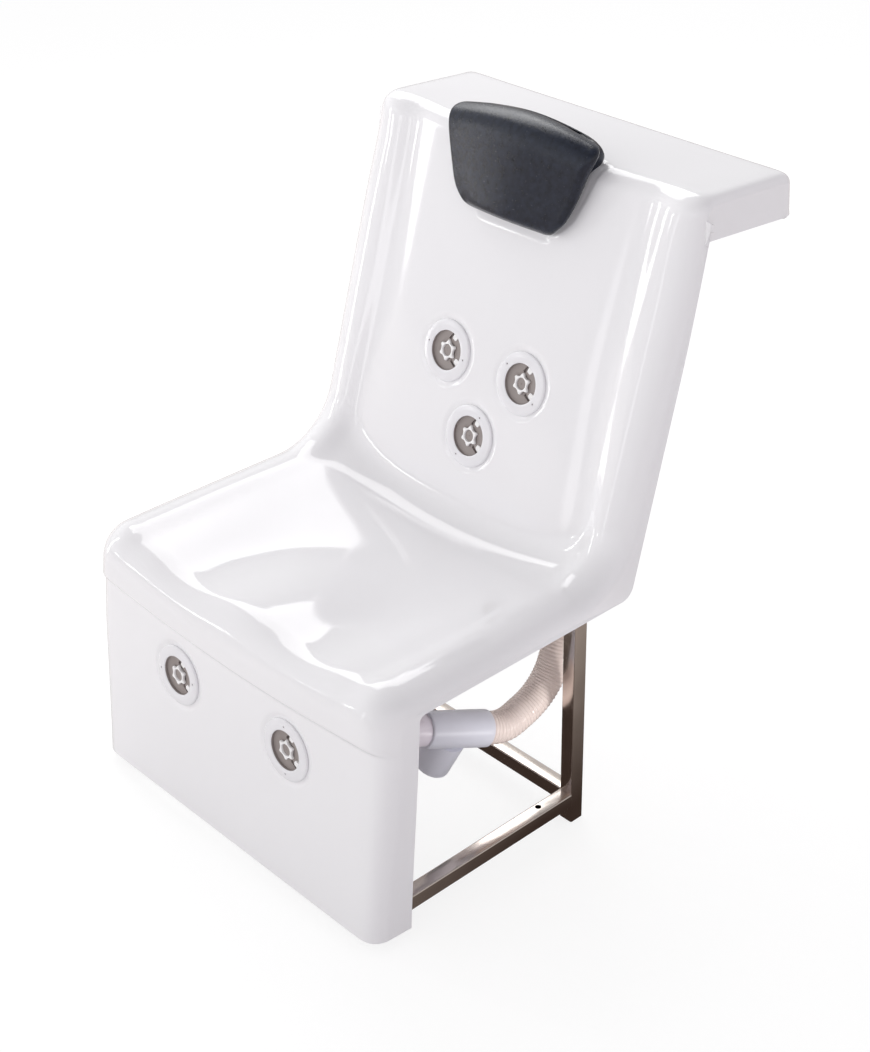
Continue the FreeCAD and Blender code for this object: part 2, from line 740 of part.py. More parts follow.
toe = cell("overall_depth") * -0.5
side_out = cell("seat_half_width") - cell("frame_draw_in")
thick = cell("tube")
front_y = toe + cell("front_leg_depth")
rear_y = toe + cell("rear_leg_depth")
low_z = cell("lower_rail_height")
rim_z = cell("rim_height")
up_z = rim_z - cell("upper_rail_drop")
cross_z = rim_z - cell("cross_rail_drop")
front_top = rim_z - cell("front_leg_drop")
rear_top = rim_z - cell("rear_leg_drop")
nil = Size.of(0)


def span_x(side, near, far):
    """Low and high X on one side, given distances from the centre plane."""
    return (near, far) if side > 0 else (-far, -near)


for side, word in ((-1, "left"), (1, "right")):
    x0, x1 = span_x(side, side_out - thick, side_out)
    tube("frame_leg_front_" + word, [x0, front_y, nil], [x1, front_y + thick, front_top], 2)
    tube("frame_leg_rear_" + word, [x0, rear_y, nil], [x1, rear_y + thick, rear_top], 2)
    tube("frame_rail_low_" + word, [x0, front_y + thick, low_z], [x1, rear_y, low_z + thick], 1)
    i0, i1 = span_x(side, side_out - thick * 2, side_out - thick)
    tube("frame_rail_top_" + word, [i0, front_y, up_z], [i1, toe + cell("top_rail_end"), up_z + thick], 1)
inner_x = side_out - thick
tube("frame_rail_low_front", [-inner_x, front_y, low_z], [inner_x, front_y + thick, low_z + thick], 0)
tube("frame_rail_low_rear", [-inner_x, rear_y, low_z], [inner_x, rear_y + thick, low_z + thick], 0)
cross_y = toe + cell("front_cross_depth")
tube("frame_cross_front", [-inner_x, cross_y, up_z - thick], [inner_x, cross_y + thick, up_z], 0)
tube("frame_cross_rear", [-inner_x, rear_y, cross_z], [inner_x, rear_y + thick, cross_z + thick], 0)
doc.recompute()


def raked_box(x0, x1, near, far, low, high):
    """A box between two offsets behind the bolster line and two heights along it."""
    base = on_back(x0, 0, near)
    start = base + UP * ((low - base.z) / UP.z)
    box = Part.makeBox(x1 - x0, far - near, (high - low) / UP.z)
    box.Placement = FreeCAD.Placement(start, FreeCAD.Rotation(Vector(1, 0, 0), -math.degrees(RAKE)))
    return box


side = HALF - mm("frame_draw_in")
tube_size, wall_t = mm("tube"), mm("tube_wall")
inner_size = tube_size - 2 * wall_t
post_near, post_far = mm("post_set_back"), mm("post_set_back") + tube_size
post_foot, post_top = RIM - mm("post_foot_drop"), mm("shoulder_height") - mm("post_top_drop")
arm_z = mm("shoulder_height") - mm("arm_drop")
arm_start, arm_end = line_depth(arm_z + tube_size / 2), LIP_FOOT[0] - mm("arm_end")
SIDE_STARTS = {"left": -side, "right": side - tube_size}
for word, x0 in SIDE_STARTS.items():
    x1 = x0 + tube_size
    post = raked_box(x0, x1, post_near, post_far, post_foot, post_top)
    near, far = post_near + wall_t, post_far - wall_t
    inside = raked_box(x0 + wall_t, x1 - wall_t, near, far, post_foot - 4, post_top + 4)
    feature("frame_post_" + word, post.cut(inside))
    behind_post = raked_box(x0 - 1, x1 + 1, -60, post_far, arm_z - 100, arm_z + 120)
    arm = Part.makeBox(tube_size, arm_end - arm_start, tube_size, Vector(x0, arm_start, arm_z))
    base = Vector(x0 + wall_t, arm_start - 10, arm_z + wall_t)
    inside = Part.makeBox(inner_size, arm_end - arm_start + 20, inner_size, base)
    feature("frame_arm_" + word, arm.cut(inside).cut(behind_post))
reach = side - 8
bar_size = tube_size - 1
for word in ("low", "high"):
    foot = mm("back_rail_" + word)
    bar = raked_box(-reach, reach, post_far, post_far + tube_size, foot, foot + bar_size)
    near, far = post_far + wall_t, post_far + tube_size - wall_t
    inside = raked_box(-reach, reach, near, far, foot + wall_t, foot + bar_size - wall_t)
    feature("frame_back_rail_" + word, bar.cut(inside))
span = 2 * (side - tube_size)
bar = Part.makeBox(span, tube_size, tube_size, Vector(-span / 2, arm_end - tube_size, arm_z))
base = Vector(-span / 2, arm_end - tube_size + wall_t, arm_z + wall_t)
feature("frame_shelf_rail", bar.cut(Part.makeBox(span, inner_size, inner_size, base)))

# The floor fixing holes go down through both walls of the lower side rails.
for sign, word in ((-1, "left"), (1, "right")):
    rail = parts["frame_rail_low_" + word]
    drill = doc.addObject("Part::Cylinder", "fixing_drill_" + word)
    drill.setExpression("Radius", "Sizes.fixing_hole / 2")
    drill.setExpression("Height", "Sizes.tube + 4")
    middle = (side_out - thick * 0.65) * sign
    drill.setExpression("Placement.Base.x", middle.text)
    drill.setExpression("Placement.Base.y", (toe + cell("fixing_hole_depth")).text)
    drill.setExpression("Placement.Base.z", (low_z - 2).text)
    drilled = doc.addObject("Part::Cut", "drilled_rail_" + word)
    drilled.Base = rail
    drilled.Tool = drill
    rail.Label = "undrilled_rail_" + word
    keep("frame_rail_low_" + word, drilled)
doc.recompute()

# Plugs in the legs' lower ends.
cap_gap = 0.3
cap_size = inner_size - 2 * cap_gap
inset = wall_t + cap_gap
caps = []
for x0 in SIDE_STARTS.values():
    for depth in (mm("front_leg_depth"), mm("rear_leg_depth")):
        base = Vector(x0 + inset, TOE + depth + inset, 0)
        caps.append(Part.makeBox(cap_size, cap_size, mm("cap_height"), base))
feature("leg_caps", Part.Compound(caps))

# Bonded pads carry the shell on the rails, posts and arms.
rail_top = RIM - mm("upper_rail_drop") + tube_size
pad_wide, pad_long, pad_high = mm("pad_width"), mm("pad_length"), 12
arm_room = arm_end - arm_start
blocks = []
for sign in (-1, 1):
    middle = sign * (side - 1.5 * tube_size)
    for depth in (132, 255, 378):
        base = Vector(middle - pad_wide / 2, TOE + depth - pad_wide, rail_top)
        blocks.append((Part.makeBox(pad_wide, pad_long, pad_high, base), Vector(0, 0, -1)))
for x0 in SIDE_STARTS.values():
    for height in (560, 760):
        blocks.append((raked_box(x0, x0 + tube_size, 2, post_near, height, height + pad_long), BEHIND))
    for depth in (arm_start + arm_room * 0.42, arm_end - pad_wide - 3):
        base = Vector(x0, depth, arm_z + tube_size)
        blocks.append((Part.makeBox(tube_size, pad_wide, 30, base), Vector(0, 0, -1)))
pads = []
for block, under in blocks:
    pieces = block.cut(shell).Solids
    pads.append(max(pieces, key=lambda solid: solid.CenterOfMass.dot(under)))
feature("support_pads", Part.Compound(pads))


# Pipework. Routes are chains of straight runs and tangent arcs.
class Route:
    def __init__(self, points, radii):
        self.pieces = []
        start = points[0]
        for before, corner, after, radius in zip(points, points[1:], points[2:], radii):
            inward = (corner - before).normalize()
            outward = (after - corner).normalize()
            turn = inward.getAngle(outward)
            reach = radius * math.tan(turn / 2)
            first = corner - inward * reach
            centre = corner + (outward - inward).normalize() * (radius / math.cos(turn / 2))
            self.pieces.append((start, inward, (first - start).Length, None, None))
            self.pieces.append((first, inward, radius * turn, centre, inward.cross(outward)))
            start = corner + outward * reach
        last = points[-1] - start
        self.pieces.append((start, Vector(last).normalize(), last.Length, None, None))
        self.length = sum(piece[2] for piece in self.pieces)

    def at(self, distance):
        """The point and heading at a distance along the route."""
        for start, heading, length, centre, axis in self.pieces:
            if distance <= length + 1e-6:
                break
            distance -= length
        if centre is None:
            return start + heading * distance, heading
        spoke = start - centre
        swing = FreeCAD.Rotation(axis, math.degrees(distance / spoke.Length))
        return centre + swing.multVec(spoke), swing.multVec(heading)

    def knots(self, step):
        """Distances of the runs' ends and of even steps, in degrees, round the arcs."""
        places, done = [0.0], 0.0
        for start, heading, length, centre, axis in self.pieces:
            parts_of = 1
            if centre is not None:
                parts_of = math.ceil(math.degrees(length / (start - centre).Length) / step)
            places += [done + length * (k + 1) / parts_of for k in range(parts_of)]
            done += length
        return places


def tube_form(route, profile, sides, steady):
    """A many-sided solid along a route from distance and radius pairs."""
    rings = []
    for distance, radius in profile:
        centre, heading = route.at(distance)
        rings.append(ring_points(centre, heading, steady, radius, sides))
    return ringed_solid(rings)


def plain_profile(route, radius, step=17):
    return [(distance, radius) for distance in route.knots(step)]


# The front pipe lies behind the apron jets, on their axes. The tee stands at its end.
front_axis_y = TOE + mm("front_pipe_depth")
jet_reach = (front_axis_y - JETS[3][1].y) / APRON_IN.y
front_axis_z = JETS[3][1].z + APRON_IN.z * jet_reach
pipe_x = HALF - mm("pipe_draw_in")
TEE_FRONT = Vector(pipe_x - 26, TOE + 211.4, front_axis_z - 6.9)
TEE_REAR = Vector(pipe_x, TOE + 311.7, front_axis_z - 42)
run = (TEE_FRONT - TEE_REAR).normalize()
run_length = (TEE_FRONT - TEE_REAR).Length
leaning = Vector(-0.375, -0.219, -0.901)
branch_way = (leaning - run * leaning.dot(run)).normalize()
JUNCTION = TEE_REAR + run * (run_length * 0.54)
MOUTH = JUNCTION + branch_way * mm("branch_length")
pipe_r, socket_r = mm("hose_radius"), mm("socket_outer")
depth_in = mm("socket_depth")
bore_r = pipe_r - mm("hose_wall")
barb_r, barb_bore = mm("feed_bore"), mm("feed_bore") - 3
tap_length = 21
tee = prism(socket_r, TEE_REAR, run, run_length, 32)
tee = tee.fuse(prism(socket_r, JUNCTION, branch_way, mm("branch_length"), 32))
tee = tee.cut([
    prism(bore_r, TEE_REAR, run, run_length, 20),
    prism(bore_r, JUNCTION, branch_way, mm("branch_length"), 20),
    prism(pipe_r + 0.1, TEE_FRONT - run * depth_in, run, depth_in + 5, 24, True),
    prism(pipe_r + 0.1, TEE_REAR - run * 5, run, depth_in + 5, 24, True),
    cylinder(pipe_r + 0.1, MOUTH - branch_way * depth_in, branch_way, depth_in + 5),
])
feature("pvc_tee", tee)

front_bend = Vector(pipe_x - 76, front_axis_y, front_axis_z)
far_end = Vector(-JET_SPREAD - 36.5, front_axis_y, front_axis_z)
front_route = Route([TEE_FRONT - run * (depth_in - 0.5), TEE_FRONT + run * 45, front_bend, far_end], [40, 50])
UPWARD = Vector(0, 0, 1)
pipe = tube_form(front_route, plain_profile(front_route, pipe_r), 20, UPWARD)
inner_knots = plain_profile(front_route, bore_r)
inner_knots[-1] = (front_route.length - 6, bore_r)
inside = tube_form(front_route, inner_knots, 12, UPWARD)
taps, holes = [], [inside]
for x in (-JET_SPREAD, JET_SPREAD):
    base = Vector(x, front_axis_y, front_axis_z)
    taps.append(prism(barb_r, base - APRON_IN * (pipe_r - 3), APRON_IN * -1, tap_length, 12))
    holes.append(prism(barb_bore, base - APRON_IN * (pipe_r - 12), APRON_IN * -1, 60, 12))
feature("front_pipe", pipe.fuse(taps).cut(holes))

# Ribbed suction hose, from the tee's rear mouth up behind the seat to the elbow.
manifold_at = on_back(0, RIM - mm("manifold_drop"), mm("panel_set_back") + mm("inlet_depth"))
elbow_at = Vector(pipe_x, manifold_at.y, manifold_at.z)
low_bend = TEE_REAR - run * 32
mid_bend = Vector(pipe_x + 6, TOE + 434, front_axis_z - 29.7)
rise = (elbow_at - mid_bend).normalize()
hose_route = Route([TEE_REAR + run * (depth_in - 0.5), low_bend, mid_bend, elbow_at - rise * 30], [70, 98])
cuff = pipe_r
profile = [(0.0, cuff), (depth_in, cuff)]
ribbed = hose_route.length - 2 * depth_in
ribs = int(ribbed / mm("rib_pitch"))
pitch = (ribbed - 2) / ribs
for k in range(ribs):
    start = depth_in + 1 + k * pitch
    profile.append((start, mm("rib_valley")))
    profile.append((start + pitch / 2, mm("rib_crest")))
profile.append((hose_route.length - depth_in - 1, mm("rib_valley")))
profile += [(hose_route.length - depth_in, cuff), (hose_route.length, cuff)]
outside = tube_form(hose_route, profile, 14, Vector(1, 0, 0))
inside = tube_form(hose_route, plain_profile(hose_route, mm("hose_bore")), 12, Vector(1, 0, 0))
feature("ribbed_hose", outside.cut(inside))


def elbow_rings(radius, sides, reach_in, reach_out):
    """A mitred bend: both legs are prisms that share the mitre's corners."""
    leg, arm = rise, Vector(-1, 0, 0)
    first = ring_points(elbow_at - leg * reach_in, leg, Vector(0, 1, 0), radius, sides)
    mitre = (leg + arm).normalize()
    middle = [point + leg * ((elbow_at - point).dot(mitre) / leg.dot(mitre)) for point in first]
    finish = elbow_at + arm * reach_out
    last = [point + arm * (finish - point).dot(arm) for point in middle]
    return ringed_solid([first, middle, last])


manifold_r = mm("manifold_radius")
elbow = elbow_rings(socket_r, 24, 58, 48).cut([
    elbow_rings(bore_r - 3, 20, 60, 50),
    prism(pipe_r + 0.1, elbow_at - rise * 29, rise * -1, 60, 24, True),
    prism(manifold_r + 0.1, elbow_at - Vector(28, 0, 0), Vector(-1, 0, 0), 60, 24, True),
])
feature("hose_elbow", elbow)

left_end = manifold_at - Vector(115, 0, 0)
right_end = elbow_at.x - 28.3
taps = [-mm("jet_spread_back"), 0.0, mm("jet_spread_back")]
pipe = prism(manifold_r, left_end, Vector(1, 0, 0), right_end - left_end.x, 24)
pipe = pipe.fuse([
    prism(barb_r, manifold_at + Vector(x, 0, 0), UP, manifold_r + 24, 12) for x in taps
])
holes = [prism(manifold_r - 3, left_end + Vector(6, 0, 0), Vector(1, 0, 0), 400, 16)]
holes += [prism(barb_bore, manifold_at + Vector(x, 0, 0), UP, 80, 12) for x in taps]
feature("back_manifold", pipe.cut(holes))


def feed(name, start, end):
    """A straight feed hose over two barbs."""
    way = end - start
    form = washer(mm("feed_radius"), mm("feed_bore") + 0.1, start, Vector(way).normalize(), way.Length, 12)
    feature(name, form)


barrel = mm("socket_radius") + mm("socket_wall") - 0.5
for (name, seat, inward), x in zip(JETS[:3], (taps[0], taps[2], taps[1])):
    base = manifold_at + Vector(x, 0, 0) + UP * (manifold_r + 2)
    feed(name.replace("jet", "feed_hose"), base, seat + inward * mm("inlet_depth") - UP * (barrel + 4))
for name, seat, inward in JETS[3:]:
    base = Vector(seat.x, front_axis_y, front_axis_z) - APRON_IN * (pipe_r + 0.6)
    feed(name.replace("jet", "feed_hose"), base, seat + inward * (mm("socket_length") + 0.5))

hangers = []
plate_top = RIM - mm("upper_rail_drop") - 4
for x in (-60, 40):
    band = washer(
        pipe_r + 3.1, pipe_r + 0.1, Vector(x - 10, front_axis_y, front_axis_z), Vector(1, 0, 0), 20, 16
    )
    plate_y = TOE + mm("front_cross_depth") + mm("tube")
    plate = Part.makeBox(20, 3, plate_top - front_axis_z, Vector(x - 10, plate_y, front_axis_z))
    plate = plate.cut(prism(pipe_r + 1, Vector(x - 20, front_axis_y, front_axis_z), Vector(1, 0, 0), 40, 16))
    hangers.append(band.fuse(plate))
feature("pipe_hangers", Part.Compound(hangers))

doc.recompute()
bad = [item.Label for item in doc.Objects if "Invalid" in item.State or "Error" in item.State]
bad += [name for name, item in parts.items() if item.Shape.isNull() or not item.Shape.isValid()]
print("not valid:", bad)
print("hose length", round(hose_route.length, 1), "ribs", ribs)

os.makedirs("parts", exist_ok=True)
for name, item in parts.items():
    item.Shape.exportStep("parts/%s.step" % name)
print("nodes", len(parts))
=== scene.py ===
import json
import math
from types import SimpleNamespace as Values

import bmesh
import bpy
from mathutils import Matrix, Vector


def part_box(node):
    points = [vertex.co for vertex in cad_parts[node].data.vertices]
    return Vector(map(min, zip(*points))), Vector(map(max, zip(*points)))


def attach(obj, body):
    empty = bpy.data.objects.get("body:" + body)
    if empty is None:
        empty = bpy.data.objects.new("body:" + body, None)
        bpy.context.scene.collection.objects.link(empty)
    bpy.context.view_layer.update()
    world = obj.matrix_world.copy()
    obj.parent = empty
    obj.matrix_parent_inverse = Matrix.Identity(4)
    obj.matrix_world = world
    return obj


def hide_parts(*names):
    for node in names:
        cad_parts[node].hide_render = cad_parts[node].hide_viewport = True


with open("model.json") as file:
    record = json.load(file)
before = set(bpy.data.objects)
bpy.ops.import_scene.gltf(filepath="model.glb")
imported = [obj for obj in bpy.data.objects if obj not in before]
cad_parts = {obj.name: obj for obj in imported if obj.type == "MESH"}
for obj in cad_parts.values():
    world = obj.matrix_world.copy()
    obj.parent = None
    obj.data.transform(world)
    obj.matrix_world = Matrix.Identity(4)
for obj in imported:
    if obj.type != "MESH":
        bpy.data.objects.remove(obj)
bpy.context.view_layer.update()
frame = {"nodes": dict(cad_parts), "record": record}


print("frame loaded:", len(frame["nodes"]), "nodes")

mm = 0.001


def addObject(name, data):
    obj = bpy.data.objects.new(name, data)
    bpy.context.scene.collection.objects.link(obj)
    return obj


# Camera, solved from the photo
camera = Values(
    place=(1941.0, -1759.3, 1988.1),   # mm from the middle of the floor print
    yaw=47.59, pitch=31.26, roll=-1.08,   # degrees
    lens=67.576, frameHeight=36.0,
)


def makeCamera(c):
    yaw, pitch, roll = (math.radians(a) for a in (c.yaw, c.pitch, c.roll))
    back = Vector((math.sin(yaw) * math.cos(pitch), -math.cos(yaw) * math.cos(pitch), math.sin(pitch)))
    right = Vector((math.cos(yaw), math.sin(yaw), 0))
    up = back.cross(right)
    camRight = right * math.cos(roll) + up * math.sin(roll)
    camUp = up * math.cos(roll) - right * math.sin(roll)
    data = bpy.data.cameras.new("camera")
    data.sensor_fit = "VERTICAL"
    data.sensor_height = c.frameHeight
    data.lens = c.lens
    data.clip_end = 50
    obj = addObject("camera", data)
    turn = Matrix((camRight, camUp, back)).transposed().to_4x4()
    obj.matrix_world = Matrix.Translation(Vector(c.place) * mm) @ turn
    bpy.context.scene.camera = obj


makeCamera(camera)
print("camera set")


# Colours and materials
def linear(hexText):
    parts = [int(hexText[k:k + 2], 16) / 255 for k in (0, 2, 4)]
    return [p / 12.92 if p <= 0.04045 else ((p + 0.055) / 1.055) ** 2.4 for p in parts] + [1.0]


def addNode(tree, kind, links={}, inputs={}, **settings):
    node = tree.nodes.new("ShaderNode" + kind)
    for key, value in settings.items():
        setattr(node, key, value)
    for key, value in inputs.items():
        node.inputs[key].default_value = value
    for key, source in links.items():
        tree.links.new(source, node.inputs[key])
    return node


def startMaterial(name, colour, roughness, metallic=0.0, **more):
    material = bpy.data.materials.new(name)
    material.use_nodes = True
    tree = material.node_tree
    shader = tree.nodes["Principled BSDF"]
    shader.inputs["Base Color"].default_value = linear(colour)
    shader.inputs["Roughness"].default_value = roughness
    shader.inputs["Metallic"].default_value = metallic
    for key, value in more.items():
        shader.inputs[key].default_value = value
    coords = addNode(tree, "TexCoord")
    return material, tree, shader, coords.outputs["Object"]


def noise(tree, where, size, detail=2.0):   # size of the pattern in mm
    pattern = {"Scale": 1000 / size, "Detail": detail}
    return addNode(tree, "TexNoise", {"Vector": where}, pattern).outputs["Fac"]


def ramp(tree, source, low, high, lowColour, highColour):
    node = addNode(tree, "ValToRGB", {"Fac": source})
    for stop, place, colour in zip(node.color_ramp.elements, (low, high), (lowColour, highColour)):
        stop.position, stop.color = place, colour
    return node.outputs["Color"]


def bump(tree, shader, height, distance, strength=1.0):   # distance in mm
    node = addNode(tree, "Bump", {"Height": height}, {"Strength": strength, "Distance": distance * mm})
    tree.links.new(node.outputs["Normal"], shader.inputs["Normal"])


def mix(tree, share, first, second):   # both colours are values or other nodes' outputs
    node = addNode(tree, "MixRGB", {"Fac": share})
    for socketName, colour in (("Color1", first), ("Color2", second)):
        if isinstance(colour, tuple):
            node.inputs[socketName].default_value = colour
        else:
            tree.links.new(colour, node.inputs[socketName])
    return node.outputs["Color"]


def mapped(tree, value, source, result=(0.0, 1.0)):   # one span of a value laid on another
    spans = {"From Min": source[0], "From Max": source[1], "To Min": result[0], "To Max": result[1]}
    return addNode(tree, "MapRange", {"Value": value}, spans).outputs["Result"]


def grey(value):
    return (value, value, value, 1)


def tintedNoise(tree, shader, where, size, colour, spread, detail=3.0):   # drifts the base colour
    base = linear(colour)[:3]
    low, high = [v * (1 - spread) for v in base] + [1], [min(v * (1 + spread), 1) for v in base] + [1]
    drift = ramp(tree, noise(tree, where, size, detail), 0.3, 0.7, low, high)
    tree.links.new(drift, shader.inputs["Base Color"])


def acrylic(name, colour, roughness, wave):
    # vacuum-formed acrylic sheet: mirror-smooth skin over a white body, with the slow waves of forming
    material, tree, shader, where = startMaterial(name, colour, roughness)
    tintedNoise(tree, shader, where, 220, colour, 0.006)
    bump(tree, shader, noise(tree, where, 70, 1.0), wave)
    return material


def mouldedPlastic(name, colour, roughness, grain=0.02):
    # injection-moulded plastic: even colour with a faint mould texture that softens the highlights
    material, tree, shader, where = startMaterial(name, colour, roughness)
    tintedNoise(tree, shader, where, 30, colour, 0.02)
    bump(tree, shader, noise(tree, where, 1.2, 3.0), grain, 0.6)
    return material


leather = Values(cell=1.5, fine=1.1, patch=3.5, depth=0.07, gloss=(0.16, 0.28))   # sizes in mm


def integralSkin(name, colour):
    # moulded polyurethane skin with a leather grain: charcoal, with small soft glints on the grain
    material, tree, shader, where = startMaterial(name, colour, 0.25, IOR=1.45)
    tintedNoise(tree, shader, where, 9, colour, 0.35, 6.0)
    cells = addNode(tree, "TexVoronoi", {"Vector": where}, {"Scale": 1000 / leather.cell},
                    feature="DISTANCE_TO_EDGE")
    edges = ramp(tree, cells.outputs["Distance"], 0.0, 0.22, grey(0), grey(1))
    both = {0: noise(tree, where, leather.fine, 4.0), 2: edges}
    mixed = addNode(tree, "Math", both, {1: 0.45}, operation="MULTIPLY_ADD")
    bump(tree, shader, mixed.outputs["Value"], leather.depth, 0.7)
    patches = noise(tree, where, leather.patch, 5.0)
    shine = ramp(tree, patches, 0.35, 0.7, *(grey(v) for v in leather.gloss))
    tree.links.new(shine, shader.inputs["Roughness"])
    return material


def polishedSteel(name, colour, roughness):
    # polished stainless tube: warm mirror tones with faint lengthwise draw lines
    material, tree, shader, where = startMaterial(name, colour, roughness, 1.0)
    tintedNoise(tree, shader, where, 60, colour, 0.06)
    bump(tree, shader, noise(tree, where, 0.9), 0.004, 0.5)
    wear = noise(tree, where, 40, 4.0)
    rough = ramp(tree, wear, 0.3, 0.75, grey(roughness * 0.75), grey(roughness * 1.4))
    tree.links.new(rough, shader.inputs["Roughness"])
    return material


def blackRubber(name, colour):
    # moulded rubber: near black and dull, with a fine dusty grain
    material, tree, shader, where = startMaterial(name, colour, 0.75)
    tintedNoise(tree, shader, where, 6, colour, 0.25)
    bump(tree, shader, noise(tree, where, 0.8, 3.0), 0.05)
    return material


materials = {
    "shell": acrylic("acrylicVacuumFormed", "f2f1f3", 0.07, 0.08),
    "pillow_skin": integralSkin("polyurethaneIntegralSkin", "1f2431"),
    "bezel_white": mouldedPlastic("absMouldedWhite", "ebeaed", 0.16, 0.006),
    "nozzle_white": mouldedPlastic("absMouldedNozzle", "f6f5f5", 0.24, 0.01),
    "socket_grey": mouldedPlastic("absMouldedGrey", "978e8b", 0.42),
    "peg_nylon": mouldedPlastic("nylonMouldedBlack", "232323", 0.5),
    "stainless_tube": polishedSteel("stainlessPolishedTube", "cfc5be", 0.16),
    "clamp_steel": polishedSteel("stainlessRolledStrip", "c4c2c0", 0.28),
    "black_rubber": blackRubber("rubberMouldedBlack", "26262a"),
    "pvc_blue_grey": mouldedPlastic("pvcMouldedBlueGrey", "d8d8e1", 0.36, 0.03),
    "pvc_white": mouldedPlastic("pvcExtrudedWhite", "ece4ec", 0.3),
    "hose_cream": mouldedPlastic("pvcRibbedHoseCream", "ecdcd4", 0.16, 0.01),
    "feed_hose_clear": mouldedPlastic("vinylMilkyHose", "d6dadb", 0.3),
}
slotOfNode = {p["node"]: p["material_slot"] for p in frame["record"]["subparts"]}
for nodeName, node in frame["nodes"].items():
    node.data.materials.clear()
    node.data.materials.append(materials[slotOfNode[nodeName]])
print("materials made:", len(materials))


# Mesh helpers
xAxis, yAxis, zAxis = (Vector(way) for way in ((1, 0, 0), (0, 1, 0), (0, 0, 1)))


def meshOf(name, points, faces):   # points in mm
    mesh = bpy.data.meshes.new(name)
    mesh.from_pydata([Vector(p) * mm for p in points], [], faces)
    return mesh


def shade(mesh, sharp):   # smooth but for edges past the angle
    for face in mesh.polygons:
        face.use_smooth = True
    mesh.set_sharp_from_angle(angle=math.radians(sharp))


def makePiece(name, points, faces, slotName, body, replaced=(), sharp=40):
    mesh = meshOf(name, points, faces)
    mesh.validate()
    fix = bmesh.new()
    fix.from_mesh(mesh)
    bmesh.ops.remove_doubles(fix, verts=fix.verts, dist=0.00001)
    bmesh.ops.recalc_face_normals(fix, faces=fix.faces)
    fix.to_mesh(mesh)
    fix.free()
    shade(mesh, sharp)
    obj = addObject(name, mesh)
    mesh.materials.append(materials[slotName])
    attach(obj, body)
    if replaced:
        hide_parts(*replaced)
    return obj


def ringFaces(rows, sides, closedRows):   # quads from ring to ring
    faces = []
    for i in range(rows if closedRows else rows - 1):
        low, high = i * sides, (i + 1) % rows * sides
        for k in range(sides):
            after = (k + 1) % sides
            faces.append((low + k, low + after, high + after, high + k))
    return faces


def joined(forms):   # several forms of points and faces as one
    points, faces = [], []
    for more, moreFaces in forms:
        faces += [tuple(v + len(points) for v in f) for f in moreFaces]
        points += more
    return points, faces


def rounded(profile, radius):   # closed outline with small arcs at its corners
    steps, most = 3, 0.45   # parts of an arc, and its most of a side
    result = []
    count = len(profile)
    for i in range(count):
        before, here, after = (Vector(profile[k % count]) for k in (i - 1, i, i + 1))
        inward, outward = (before - here), (after - here)
        reach = min(radius, inward.length * most, outward.length * most)
        start, end = here + inward.normalized() * reach, here + outward.normalized() * reach
        for s in range(steps + 1):
            t = s / steps
            result.append(tuple(start * (1 - t) ** 2 + here * 2 * t * (1 - t) + end * t ** 2))
    return result


def basis(direction, steady):
    upward = direction.cross(steady).normalized()
    return upward.cross(direction), upward


def turns(sides):
    return [2 * math.pi * k / sides for k in range(sides)]


def ring(centre, across, upward, radius, sides):
    return [centre + across * (radius * math.cos(a)) + upward * (radius * math.sin(a))
            for a in turns(sides)]


def lathe(profile, base, axis, sides=96, steady=xAxis):   # closed outline of (r, z) turned about an axis
    across, upward = basis(axis, steady)
    points = [p for r, z in profile for p in ring(base + axis * z, across, upward, r, sides)]
    return points, ringFaces(len(profile), sides, True)


def sleeveOutline(inner, outer, start, end, easing):   # a short tube with eased edges
    return rounded([(inner, start), (outer, start), (outer, end), (inner, end)], easing)


def bakeModifiers(obj, sharp=50):
    graph = bpy.context.evaluated_depsgraph_get()
    mesh = bpy.data.meshes.new_from_object(obj.evaluated_get(graph))
    obj.modifiers.clear()
    obj.data = mesh
    shade(mesh, sharp)


def tangentArc(before, corner, after, radius):   # its ends, centre, first direction, axis and turn
    inward, outward = (corner - before).normalized(), (after - corner).normalized()
    turn = inward.angle(outward)
    reach = radius * math.tan(turn / 2)
    centre = corner + (outward - inward).normalized() * (radius / math.cos(turn / 2))
    return corner - inward * reach, corner + outward * reach, centre, inward, inward.cross(outward), turn


# Shell: the same driving sizes as the CAD part, in mm
size = Values(
    depth=845, wall=6, apronFoot=15, apronLean=0.09, rimHeight=423, rimFall=4,
    hipDepth=474.2, shoulderDepth=635.7, shoulderHeight=966.7, shelfFall=13.5, lipHeight=64,
    noseRadius=56, hipRadius=110, shoulderRadius=36, lipRadius=20,
    footHalf=332, seatHalf=341, shelfHalf=331, flare=3,
    rimRoll=50, rimRollDepth=29, cornerRoll=28, shelfRoll=15, noseOver=8, creaseHeight=339,
    rimInner=44, creaseHalf=240, creaseDrop=10, creaseBack=11,
    panFront=404, panRear=380, panSag=7, panelBack=5, panHip=62, heelRise=4,
    pommelRise=7, pommelPitch=290,
    apronFlange=69, apronFlangeTop=88, seatFlange=388, backFlangeFoot=509, backFlangeTop=648,
    shelfFlange=903,
)
toe = -size.depth / 2
footZ = size.apronFoot - 12   # rows start below the foot and are cut there
hip = (toe + size.hipDepth, size.rimHeight - size.rimFall)
shoulder = (toe + size.shoulderDepth, size.shoulderHeight)
lipTop = (toe + size.depth - 5, shoulder[1] - size.shelfFall)
lipFoot = (toe + size.depth, lipTop[1] - size.lipHeight)
rake = math.atan2(shoulder[0] - hip[0], shoulder[1] - hip[1])
up = Vector((0, math.sin(rake), math.cos(rake)))
behind = Vector((0, math.cos(rake), -math.sin(rake)))
lean = math.atan(size.apronLean)
apronIn = Vector((0, math.cos(lean), -math.sin(lean)))


def evenSteps(count):
    return [k / count for k in range(count + 1)]


coarseStep, fineStep = ((8, 3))   # mm between the rows of the shell's mesh


def stepped(length, stepAt):   # places along a length
    places = [0.0]
    while places[-1] < length - 1e-6:
        places.append(min(places[-1] + stepAt(places[-1]), length))
    return places


